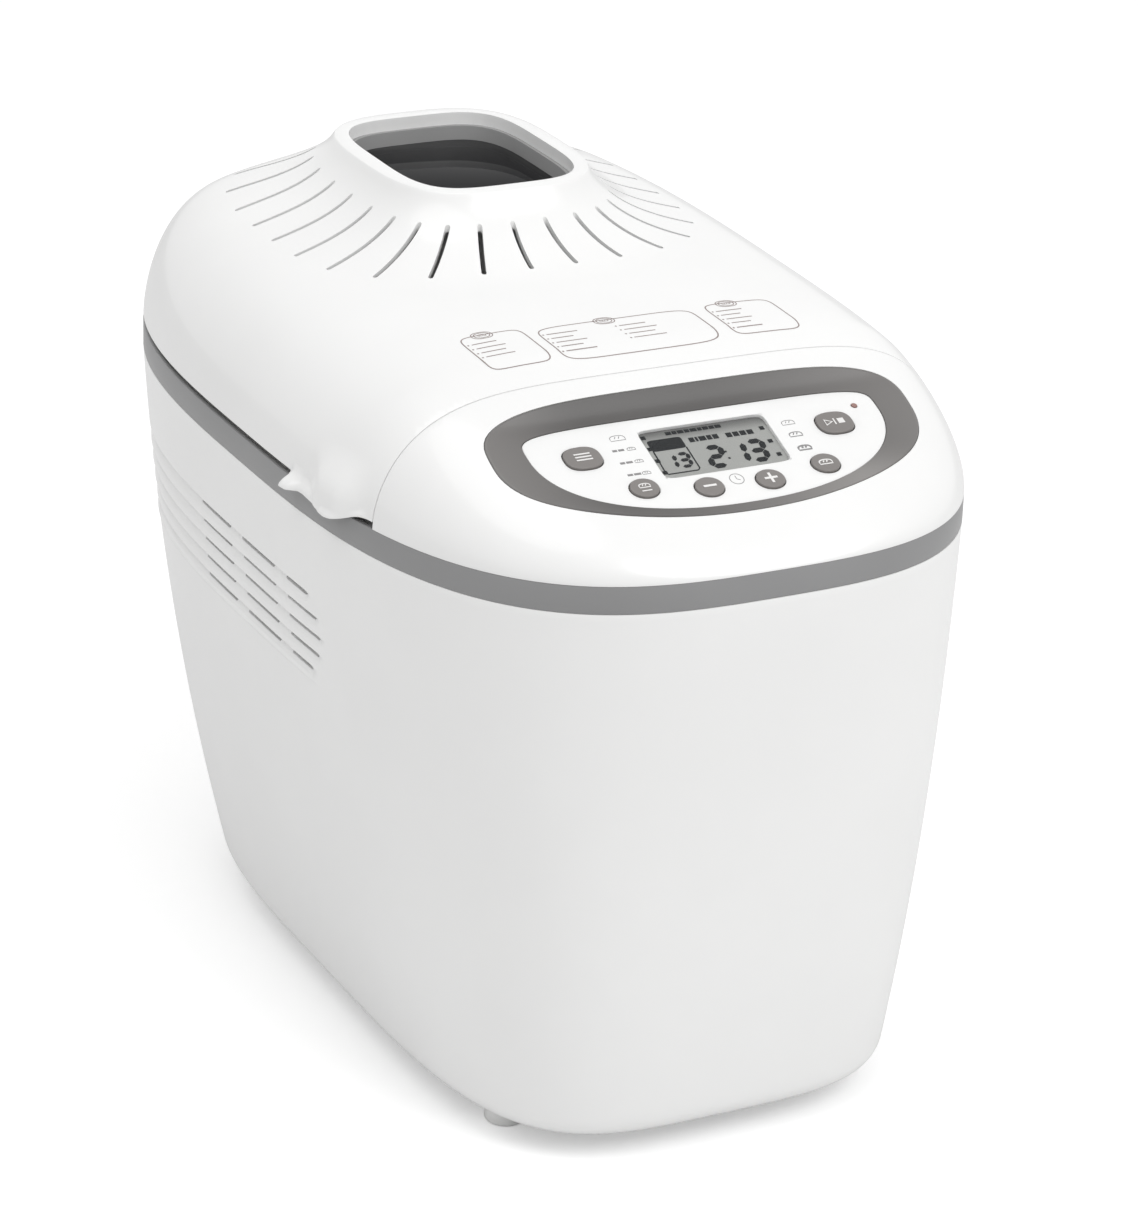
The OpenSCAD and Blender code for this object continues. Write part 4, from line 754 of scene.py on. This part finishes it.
GRIP_YS = [-115, -110, -103, -99, -96, -91, -86, -80, -70, -66.5, -63, -57.5, -55]
GRIP_LIP = [0, 1.5, 3.6, 6.6, 7.6, 7.0, 5.4, 4.0, 2.9, 3.2, 7.2, 7.8, 0]
NOSE_UP, NOSE_SHARE = [0, 0.7, 1.5, 2.2, 3.2, 5], [1, 0.96, 0.78, 0.4, 0.14, 0]


def grip_offset(y, z):
    """Outward and downward shift of the lid's side at a height and depth."""
    up = z - LID_BOTTOM
    lobe = 5.8 * swell(y, -97, -88, 16, 20) * swell(z, 240, 272, 1, 19)
    nose = np.interp(y, GRIP_YS, GRIP_LIP) * np.interp(up, NOSE_UP, NOSE_SHARE)
    drop = 4.4 * swell(y, -98, -57.5, 15, 4.5) * max(0, 1 - up / 9) ** 1.6
    return max(lobe, nose), drop


def pull_grips(bm):
    for v in bm.verts:
        x, y, z = v.co
        if abs(x) > 90 and -117.5 < y < -50 and z < 294:
            out, down = grip_offset(y, z)
            steep = clamped((abs(x) - 100) / 25)
            v.co.x += math.copysign(out * steep, x)
            v.co.z -= down * steep


# %% Steam slots
def fan(a, b, t):
    c, s = math.cos(t), math.sin(t)
    r = (abs(c) ** RIM_SQUARE + abs(s) ** RIM_SQUARE) ** (-1 / RIM_SQUARE)
    return Vector((a * r * c, WINDOW_Y + b * r * s))


VENTS, VENT_HALF_W = 28, 1.1
vents = bmesh.new()
for k in range(VENTS):
    t = (k + 0.5) * 2 * math.pi / VENTS
    near = fan(RIM_A + 9.5, RIM_B + 9.5, t + 0.052 * math.sin(4 * t))
    far = fan(RIM_A + 46, RIM_B + 34, t)
    middle, heading = (near + far) / 2, far - near
    place = (Matrix.Translation((middle.x, middle.y, 0))
             @ Matrix.Rotation(math.atan2(heading.y, heading.x), 4, "Z"))
    prism(vents, slot_line(heading.length / 2 + VENT_HALF_W, VENT_HALF_W), 305, 370, place)

# %% Lid piece
TUBE_END, LID_GAP = 306.4, 0.6
lid = bmesh.new()
chimney_rim = round_line(RIM_A, RIM_B, RIM_SQUARE, WINDOW_Y)
last = dome_skin(lid, lid_z, chimney_rim, lid_around, 1.6)[-1]
tube = spaced(round_line(TUBE_A, TUBE_B, TUBE_SQUARE, WINDOW_Y), lid_around)
for z in (CHIMNEY_TOP, TUBE_END):
    last = extruded(lid, last, at_height(tube, z))
faces_out(lid)
trimmed(lid, (0, 0, LID_BOTTOM), (0, 0, -1))
for up in NOSE_UP[1:]:
    trimmed(lid, (0, 0, LID_BOTTOM + up), (0, 0, 1), clear=False)
pull_grips(lid)
walled(lid, trimmed(lid, (0, SPLIT_Y + LID_GAP, 0), (0, -1, 0)))

# %% Room for the hinges, and the lid's object
HINGE_Y, HINGE_Z, HINGE_X, BARREL_ROOM = 208, 275, 45, 5.7
REAR_Y = 240


def across_rear(bm, line, x0, x1):
    """Block from x0 to x1 with an outline of y and z."""
    prism(bm, line, x0, x1, Matrix(((0, 0, 1, 0), (1, 0, 0, 0), (0, 1, 0, 0), (0, 0, 0, 1))))


notch, recesses = bmesh.new(), bmesh.new()
across_rear(notch, [(199, 262), (REAR_Y, 262), (REAR_Y, HINGE_Z), (199, HINGE_Z)], -62, 62)
over_barrel = [(HINGE_Y - BARREL_ROOM * math.cos(a), HINGE_Z + BARREL_ROOM * math.sin(a))
               for a in np.linspace(0, 2.688, 14)]
behind_barrel = [(REAR_Y, 277.5), (REAR_Y, 270), (HINGE_Y - BARREL_ROOM, 270)]
for x in (-HINGE_X, HINGE_X):
    across_rear(recesses, over_barrel + behind_barrel, x - 10, x + 10)
finished(lid, "lid_moulding", "lid", "casing_white", ["lid_shell"], thick=WALL, rounding=1.1,
         cutters=[cutter(vents, "vents"), cutter(notch, "notch"), cutter(recesses, "recesses")],
         angle=48)

# %% [markdown]
# ## Front housing
#
# The part in front of the lid is fixed to the body. It is the front of the same
# dome, so it is lofted with the same function, without the chimney, and cut off
# just in front of the lid. A prism through it makes the opening for the panel.

# %% Panel's own frame and outlines
panel = Matrix.Translation(PANEL_AT) @ Matrix.Rotation(PANEL_TILT, 4, "X")


def bezel_line(grow):
    return round_line(95.7 + grow, 25.6 + grow, 3.87, 7.6, 47.5 + grow, 2.18)


def fascia_line(grow):
    return round_line(79.9 + grow, 13.5 + grow, 5, 8.2, 42.6 + grow, 2.22)


def over_panel(line):
    """Height of the dome over the panel's plane, along the panel's normal."""
    x, v = line[:, 0], line[:, 1]
    c, s = math.cos(PANEL_TILT), math.sin(PANEL_TILT)
    w = np.zeros_like(x)
    for _ in range(8):
        y, z = PANEL_AT[1] + v * c - w * s, PANEL_AT[2] + v * s + w * c
        w += (dome_z(x, y) - z) * c
    return w


# %% Housing piece
housing = bmesh.new()
housing.faces.new(dome_skin(housing, dome_z, round_line(2.0, 3.0, 2), even(DOME_COUNT))[-1])
faces_out(housing)
walled(housing, trimmed(housing, (0, SPLIT_Y, 0), (0, 1, 0)))
opening = bmesh.new()
prism(opening, spaced(bezel_line(0), even(160)), -14, 40, panel)
finished(housing, "housing_moulding", "base", "casing_white", ["panel_housing"], thick=WALL,
         rounding=1.1, cutters=[cutter(opening, "opening")], angle=48)

# %% [markdown]
# ## Bezel and control face
#
# The bezel is a grey dish. Its outer edge is flush with the dome, and it falls in
# a hollow curve to the white face in the middle. It is lofted from outside to
# inside with the height following that curve. The face is flat: its outline and
# the holes for keys and display are filled in one go and then thickened.

# %% Bezel piece
BEZEL_LIP, LIP_SHARE, HOLLOW, BEZEL_SKIRT = 0.35, 0.06, 1.7, 3
outer, inner = (spaced(line, even(260)) for line in (bezel_line(-0.25), fascia_line(0.2)))
dome_over = over_panel(outer)
rings = [at_height(outer, dome_over - BEZEL_SKIRT)]
for t in np.linspace(0, 1, 26):
    lip = BEZEL_LIP * (1 - (1 - min(1, t / LIP_SHARE)) ** 2) ** 0.5
    fall = 1 - (1 - t) ** HOLLOW
    rings.append(at_height(outer * (1 - t) + inner * t,
                           dome_over * (1 - fall) + 0.3 * fall + lip * (1 - t)))
rings.append(at_height(inner, -BEZEL_SKIRT))
bezel = bmesh.new()
loft(bezel, rings)
faces_out(bezel)
finished(bezel, "bezel_dish", "base", "bezel_grey", ["bezel"], rounding=0.35, steps=2,
         place=panel)

# %% Control face
round_keys = {"weight_button": (-40.2, -18.2), "minus_button": (-13.3, -23),
              "plus_button": (14, -23.8), "colour_button": (41.4, -19.7)}
wide_keys = {"menu_button": (-57.6, 3.7), "start_button": (56.9, 2.5)}
LED_AT, LED_R = (70.4, 11), 1.4
KEY_R, KEY_OVAL, KEY_GAP = 6.2, 0.88, 0.4
WIDE_A, WIDE_B, WIDE_SQUARE = 8.1, 6.4, 2.6
LCD_W, LCD_H = 57.6, 29.4
FACE_THICK = 2.4


def oval(a, b, square, count, centre=(0, 0)):
    return spaced(round_line(a, b, square), even(count)) + np.array(centre)


def wide_oval(grow, count, centre=(0, 0)):
    return oval(WIDE_A + grow, WIDE_B + grow, WIDE_SQUARE, count, centre)


hole_r = KEY_R + KEY_GAP
outlines = [spaced(fascia_line(0), even(220))]
outlines += [oval(hole_r, hole_r * KEY_OVAL, 2, 64, centre) for centre in round_keys.values()]
outlines += [wide_oval(KEY_GAP, 72, centre) for centre in wide_keys.values()]
outlines += [oval(LCD_W / 2, LCD_H / 2, 14, 120), oval(LED_R, LED_R, 2, 24, LED_AT)]
face = bmesh.new()
edges = [edge for line in outlines for edge in ring_of(face, at_height(line, 0))[1]]
bmesh.ops.triangle_fill(face, use_beauty=True, edges=edges)
raised(face, face.faces[:], -FACE_THICK)
faces_agree(face)
finished(face, "control_face", "base", "casing_white", ["fascia"], rounding=0.25, steps=2,
         angle=50, place=panel)

# %% [markdown]
# ## Keys
#
# Each small key is a profile spun about its own axis, with a slightly crowned
# cap, and then pressed to a slight oval. The two wide keys are lofted from a
# rounded outline with the same edge. The signs on them are thin inlays that ride
# with the key.

# %% Key caps
CAP_TOP, CAP_CROWN, CAP_EDGE = 0.8, 0.3, 0.5
FLANGE, FLANGE_TOP, FLANGE_LOW = 1, -2.45, -3.4
STEM_R, STEM_END = 2.4, -7.65


def crown_height(s):
    return CAP_TOP + CAP_CROWN * (1 - s * s)


def edge_height(a):
    return CAP_TOP - CAP_EDGE + 0.58 * math.cos(a)


def key_profile(r):
    top = [(r * s, crown_height(s)) for s in np.linspace(0, 0.86, 8)]
    edge = [(r - CAP_EDGE + CAP_EDGE * math.sin(a), edge_height(a))
            for a in np.linspace(0.45, math.pi / 2, 6)]
    return top + edge + [(r, FLANGE_TOP), (r + FLANGE, FLANGE_TOP), (r + FLANGE, FLANGE_LOW),
                         (STEM_R, FLANGE_LOW), (STEM_R, STEM_END), (0, STEM_END)]


def spun(bm, profile):
    """Full turn of a profile of radius and height about the Z axis."""
    verts = [bm.verts.new((r, 0, z)) for r, z in profile]
    edges = [bm.edges.new(pair) for pair in zip(verts, verts[1:])]
    bmesh.ops.spin(bm, geom=verts + edges, cent=(0, 0, 0), axis=(0, 0, 1), angle=2 * math.pi,
                   steps=64, use_merge=True)
    bmesh.ops.remove_doubles(bm, verts=bm.verts, dist=0.0005)
    faces_agree(bm)


def lofted_key(bm):
    """Wide key, lofted from the foot of its stem to the top of its cap."""
    stem, flange, cap = oval(STEM_R, STEM_R, 2, 96), wide_oval(FLANGE, 96), wide_oval(0, 96)
    rings = [at_height(*ring) for ring in (
        (stem, STEM_END), (stem, FLANGE_LOW), (flange, FLANGE_LOW), (flange, FLANGE_TOP),
        (cap, FLANGE_TOP))]
    rings += [at_height(wide_oval(CAP_EDGE * (math.sin(a) - 1), 96), edge_height(a))
              for a in np.linspace(math.pi / 2, 0.45, 6)]
    rings += [at_height(cap * s, crown_height(s)) for s in np.linspace(0.9, 0.1, 7)]
    loops = loft(bm, rings)
    bm.faces.new(loops[0])
    bm.faces.new(loops[-1])
    faces_out(bm)


def placed(centre):
    return panel @ Matrix.Translation((*centre, 0))


all_keys = {**round_keys, **wide_keys}
for name, centre in all_keys.items():
    key, place = bmesh.new(), placed(centre)
    if name in round_keys:
        spun(key, key_profile(KEY_R))
        place = place @ Matrix.Diagonal((1, KEY_OVAL, 1, 1))
    else:
        lofted_key(key)
    finished(key, name + "_cap", name, "key_grey", [name], place=place)

# %% [markdown]
# ## Printed marks
#
# Prints are ink films a few hundredths of a millimetre thick. Drawn as strokes,
# they stay sharp at any size: a stroke widens a line of points to a thin plate.
# Everything is a plain sign: bars, boxes, a clock, a loaf and the figures of the
# display.

# %% Strokes
def stroke(bm, points, width, closed=False, high=0.05):
    """Thin plate along a line of points."""
    p = np.asarray(points, float)
    ahead, behind = np.roll(p, -1, 0), np.roll(p, 1, 0)
    if not closed:
        ahead[-1], behind[0] = p[-1], p[0]
    run = ahead - behind
    run /= np.maximum(1e-9, np.hypot(run[:, 0], run[:, 1]))[:, None]
    side = np.column_stack([-run[:, 1], run[:, 0]]) * width / 2
    left, right_side = ([bm.verts.new((*q, high)) for q in line] for line in (p + side, p - side))
    pairs = list(zip(left, right_side))
    faces = [bm.faces.new((a, b, d, c))
             for (a, b), (c, d) in zip(pairs, pairs[1:] + pairs[:closed])]
    raised(bm, faces, -high)


def bar(bm, x, y, length, width):
    stroke(bm, [(x, y), (x + length, y)], width)


def box_line(x0, y0, x1, y1, square, count=72):
    """Rounded box between two corners."""
    return oval((x1 - x0) / 2, (y1 - y0) / 2, square, count, ((x0 + x1) / 2, (y0 + y1) / 2))


def loaf(bm, x, y, size, width):
    """Side view of a loaf: flat base, domed top, two cuts."""
    t = np.linspace(0, np.pi, 15)
    top = [(x + 3 * size * math.cos(a), y + 1.6 * size * math.sin(a) ** 0.7) for a in t]
    stroke(bm, top + [(x - 3 * size, y - 1.1 * size), (x + 3 * size, y - 1.1 * size)], width, True)
    for dx in (-0.8, 0.8):
        stroke(bm, [(x + (dx - 0.4) * size, y), (x + (dx + 0.3) * size, y + 1.0 * size)], width)


def dashes(bm, x, y, width, gap, *lengths):
    for length in lengths:
        bar(bm, x, y, length, width)
        x += length + gap


# %% Marks on the control face
FINE, CLOCK_AT = 0.32, (0.2, -20.6)
marks = bmesh.new()
loaf(marks, -38.2, 12.2, 1.1, FINE)
for v, *lengths in ((5.3, 2.1, 2.6), (-2.2, 2.2, 2.9), (-9.4, 2.4, 3.1)):
    dashes(marks, -43.6, v, 1.2, 0.5, *lengths)
    loaf(marks, -35.2, v - 0.1, 0.6, 0.3)
for v, width in ((6.7, FINE), (-0.6, 0.5), (-9.0, 0.85)):
    loaf(marks, 37.2, v, 0.95, width)
stroke(marks, oval(3.0, 3.0, 2, 40, CLOCK_AT), FINE, True)
stroke(marks, [(0.2, -18.7), CLOCK_AT, (1.5, -21.4)], FINE)
finished(marks, "face_marks", "base", "print_grey", place=panel)

# %% Signs on the keys
def minus_sign(ink):
    stroke(ink, [(-2.9, 0), (2.9, 0)], 1.15)


def plus_sign(ink):
    minus_sign(ink)
    stroke(ink, [(0, -2.9), (0, 2.9)], 1.15, high=0.055)


def scale_sign(ink):
    loaf(ink, 0, 0.6, 0.8, 0.5)
    bar(ink, -2.2, -2.2, 4.4, 0.6)


def crust_sign(ink):
    loaf(ink, -0.3, -0.2, 0.95, 0.6)


def menu_sign(ink):
    for v in (1.7, 0, -1.7):
        bar(ink, -3.6, v, 7.2, 0.75)


def start_sign(ink):
    stroke(ink, [(-4.6, 1.6), (-1.4, 0), (-4.6, -1.6)], 0.8, True)
    bar(ink, 1.2, 0.0, 2.9, 2.9)
    bar(ink, -0.6, 0.0, 0.6, 3.6)


signs = scale_sign, minus_sign, plus_sign, crust_sign, menu_sign, start_sign
for draw, (name, centre) in zip(signs, all_keys.items()):
    ink = bmesh.new()
    draw(ink)
    finished(ink, name + "_sign", name, "key_white",
             place=placed(centre) @ Matrix.Translation((0, 0, CAP_TOP + CAP_CROWN + 0.01)))

# %% [markdown]
# ## Display
#
# A liquid crystal display is a grey plate with black segments just over it. The
# figures are the usual seven segments, drawn a little slanted. The plate's
# material darkens towards the top edge, where the control face shades it.

# %% Display plate
SEGMENTS = {"1": "bc", "2": "abged", "3": "abgcd"}
SLANT = 0.14


def figure(bm, digit, x, y, height, width, weight):
    """Seven-segment figure, centred, slanted to the right."""
    w, h, half, gap = width / 2, height / 2, weight / 2, 0.12
    ends = {"a": (-w, h, w, h), "b": (w, h, w, 0), "c": (w, 0, w, -h), "d": (-w, -h, w, -h),
            "e": (-w, 0, -w, -h), "g": (-w, 0, w, 0)}
    for name in SEGMENTS[digit]:
        p, q = np.reshape(ends[name], (2, 2))
        run = (q - p) / np.hypot(*(q - p))
        p, q = p + run * gap, q - run * gap
        side = np.array([-run[1], run[0]]) * half
        hexagon = (p, p + run * half - side, q - run * half - side, q,
                   q - run * half + side, p + run * half + side)
        bm.faces.new([bm.verts.new((x + u + SLANT * v, y + v, 0)) for u, v in hexagon])


PLATE_Z, PLATE_THICK = -1.6, 0.4
plate_w, plate_h = LCD_W / 2 + 1, LCD_H / 2 + 0.4
plate = bmesh.new()
prism(plate, [(-plate_w, -plate_h), (plate_w, -plate_h), (plate_w, plate_h),
              (-plate_w, plate_h)], PLATE_Z - PLATE_THICK, PLATE_Z)
faces_agree(plate)

place = graph_of("display_grey")
local = in_panel(place)
cells = place.make("TexNoise", {"Vector": local, "Scale": 2500.0})
tone = mixed(cells, (0.36, 0.365, 0.35), (0.40, 0.405, 0.39))
shade = millimetres(local, 1).band(6.0, 14.5) * 0.9
surfaced(place, {"Base Color": mixed(shade, tone, (0.10, 0.10, 0.098)),
                 "Roughness": 0.35 + 0.1 * cells})
finished(plate, "display_plate", "base", "display_grey", place=panel)

# %% Display figures
figures = bmesh.new()
for digit, x in (("2", -0.4), ("1", 9.8), ("3", 18.6)):
    figure(figures, digit, x, -6.6, 11.0, 6.1, 2.8)
for digit, x in (("1", -20.6), ("3", -14.4)):
    figure(figures, digit, x, -5.8, 7.4, 4.2, 1.9)
for y in (-4.6, -8.6):
    bar(figures, 4.4 + SLANT * y * 0.3, y, 1.0, 1.0)
for x, heights in ((-27.0, (9.9, 3.0, -4.2, -11.4)), (25.3, (5.7, -2.4, -10.6))):
    for y in heights:
        bar(figures, x, y, 2.1, 2.1)
dashes(figures, -7.4, 4.9, 2.7, 0.5, 2.4, 1.1, 3.1, 2.2, 2.5)
dashes(figures, 9.4, 4.6, 2.7, 0.55, 2.6, 2.6, 2.7, 2.8)
dashes(figures, -15.6, 10.5, 1.9, 0.4, 2.6, 2.0, 2.8, 2.2, 3.0, 1.9, 2.6, 2.3, 2.7)
stroke(figures, box_line(-25.4, 1.4, -10.4, 7.6, 10), 0.5, True)
prism(figures, box_line(-25.3, 1.5, -10.5, 7.5, 10), 0, 0.03)
stroke(figures, [(-25.2, 1.5), (-25.8, -11.6), (-25.0, -12.6), (-11.4, -12.6), (-10.4, -11.6),
                 (-10.3, 1.5)], 0.65)
bmesh.ops.remove_doubles(figures, verts=figures.verts, dist=0.0001)
bmesh.ops.translate(figures, vec=(-0.5, 1.9, PLATE_Z + 0.03), verts=figures.verts)
finished(figures, "display_figures", "base", "segment_black", place=panel)

# %% [markdown]
# ## Recipe boxes on the lid
#
# Three outlined boxes are printed on the slope of the lid. They hold plain rules
# in place of words. Each point is dropped on the dome, a hair over its surface.

# %% Boxes on the dome
RULE_PITCH, OVER_DOME = 4.6, 0.02
boxes = bmesh.new()
for corners in ((-73.5, -104.5, -45.5, -71), (-40.5, -107, 31.5, -74), (38.5, -105, 70, -73)):
    stroke(boxes, box_line(*corners, 7, 160), 0.55, True)
for x, top, lengths, rows in ((-70.5, -79, (11, 13), 4), (-37.5, -81, (14, 10), 5),
                              (-4.5, -82, (12, 15), 4), (41.5, -81, (12, 9), 5)):
    for k in range(rows):
        y = top - RULE_PITCH * k
        stroke(boxes, [(x + s, y) for s in np.linspace(0, lengths[k % 2], 8)], 0.65)
        stroke(boxes, [(x - 1.9, y), (x - 1.2, y)], 0.9)
for centre in ((-62.5, -71.5), (-8, -74.8), (50, -73.8)):
    for size in (4.6, 3.4):
        stroke(boxes, oval(size, size * 0.72, 2.4, 48, centre), 0.42, True)
    loaf(boxes, *centre, 0.6, 0.3)
for v in boxes.verts:
    v.co.z += dome_at(v.co.x, v.co.y) + OVER_DOME
finished(boxes, "lid_print", "lid", "print_brown")

# %% [markdown]
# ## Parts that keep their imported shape
#
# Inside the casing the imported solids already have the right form, but with
# knife-sharp edges. Each of these nodes is replaced by a copy: its points are
# merged, flat triangles become one face, and its edges get the small radius that
# a press or a mould leaves. The table gives that radius beside the finish.

# %% Copies with rounded edges
body_of = {node: body for body, held in frame["record"]["behaviour"]["bodies"].items()
           for node in held}
copies = (
    ("frame_grey", 0.35, "window_frame"), ("smoked_glass", 0.3, "window_glass"),
    ("clear_glass", 0.3, "inner_glass"), ("inner_white", 0.6, "feet"),
    ("inner_white", 0.4, "base_plate top_deck"), ("rolled_steel", 0.4, "oven_chamber lid_liner"),
    ("pan_coat", 0.4, "bread_pan"), ("pan_metal", 0.4, "pan_base"),
    ("bright_wire", 0.2, "bail_handle"), ("bright_wire", 0.3, "bail_ears"),
    ("pan_coat", 0.5, "front_paddle rear_paddle"),
    ("zinc_plate", 0.3, "hinge_arms hinge_brackets"),
    ("rolled_steel", 0.3, "pan_seat"), ("element_sheath", 0.2, "heating_element"),
    ("nylon_black", 0.3, "inlet_gland"), ("motor_can", 0.5, "motor_body"),
    ("zinc_plate", 0.4, "drive_frame"))
for finish, radius, names in copies:
    for node in names.split():
        bm = bmesh.new()
        bm.from_mesh(nodes[node].data)
        bmesh.ops.scale(bm, vec=(1 / MM, 1 / MM, 1 / MM), verts=bm.verts)
        bmesh.ops.remove_doubles(bm, verts=bm.verts, dist=0.01)
        bmesh.ops.dissolve_limit(bm, angle_limit=math.radians(0.5), verts=bm.verts,
                                 edges=bm.edges)
        finished(bm, node + "_soft", body_of[node], finish, [node], rounding=radius,
                 angle=32, steps=2)

# %% [markdown]
# The small parts of the drive and the electronics stay as they are and only get
# their own finishes.

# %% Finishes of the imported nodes
kept = (
    ("clear_lens", "lcd_window"), ("lens_red", "led_lens"), ("coil_iron", "transformer"),
    ("switch_black", "lcd_module tact_switches"), ("board_green", "control_board power_board"),
    ("turned_steel", "temperature_probe hinge_pins motor_rotor front_drive_shaft "
                   "rear_drive_shaft front_pan_shaft rear_pan_shaft"),
    ("nylon_black", "motor_pulley front_drive_pulley rear_drive_pulley"),
    ("bronze", "shaft_bushes pan_bushes"), ("zinc_plate", "frame_screws liner_screws"),
    ("belt_rubber", "motor_belt link_belt"), ("cast_zinc", "front_coupling rear_coupling"),
    ("capacitor_can", "run_capacitor"), ("key_white", "motor_fan"))
for finish, names in kept:
    for node in names.split():
        nodes[node].data.materials.clear()
        nodes[node].data.materials.append(finishes[finish])
print("nodes that keep their mesh:", sum(len(names.split()) for _, names in kept))

# %% [markdown]
# ## Studio
#
# The floor is a pale sheet. To the camera it also glows by itself, a little near
# the machine and fully far off, so it keeps its soft shadow and goes over into the
# white backdrop. One large lamp stands high in front and to the right, another
# hangs over the lid, and the even sky fills the rest, so a colour shows about as
# it is written.

# %% Floor
WHITE = (1, 1, 1, 1)
floor_mesh = bmesh.new()
bmesh.ops.create_grid(floor_mesh, x_segments=2, y_segments=2, size=6000)
floor = scene_object(floor_mesh, "floor")
place = graph_of("floor_white")
paper = place.make("BsdfDiffuse", {
    "Color": mixed(noise(place, 3.0), (0.86, 0.86, 0.86), (0.9, 0.9, 0.9))})
far = place.make("VectorMath", {0: place}, {"operation": "LENGTH"}, 1).band(1.6, 3.6)
near_glow, far_glow = (place.make("Emission", {"Color": WHITE, "Strength": power})
                       for power in (0.3, 1.0))
glow = place.make("MixShader", {0: far, 1: near_glow, 2: far_glow})
unlit = place.make("BsdfTransparent", {"Color": (0, 0, 0, 1)})
seen = place.make("LightPath", out="Is Camera Ray")
added = place.make("MixShader", {0: seen, 1: unlit, 2: glow})
place.make("OutputMaterial", {"Surface": place.make("AddShader", {0: paper, 1: added})})
floor.data.materials.append(finishes["floor_white"])

# %% Sky and lamps
world = bpy.data.worlds.new("studio")
scene.world = world
world.use_nodes = True
world.node_tree.nodes.clear()
sky = Wire(world.node_tree)
SKY = 0.62
seen, mirrored, through = (sky.make("LightPath", out=f"Is {kind} Ray")
                           for kind in ("Camera", "Glossy", "Transmission"))
direct = seen + mirrored + through
level = SKY + (1 - SKY) * direct.maths("MINIMUM", direct, 1.0)
sky.make("OutputWorld", {
    "Surface": sky.make("Background", {"Color": WHITE, "Strength": level})})

AIM = Vector((0, -0.02, 0.2))
for name, place, watts, size in (("key", (0.9, -1.9, 2.3), 27.0, 2.0),
                                 ("top", (-0.7, -0.1, 2.7), 20.0, 2.4)):
    light = bpy.data.lights.new(name, "AREA")
    light.shape, light.size, light.energy = "DISK", size, watts
    thing = bpy.data.objects.new(name, light)
    away = (Vector(place) - AIM).normalized()
    thing.matrix_world = (Matrix.Translation(place)
                          @ away.to_track_quat("Z", "Y").to_matrix().to_4x4())
    scene.collection.objects.link(thing)
scene.view_settings.view_transform = "Standard"
print("sky", SKY, "and two lamps")
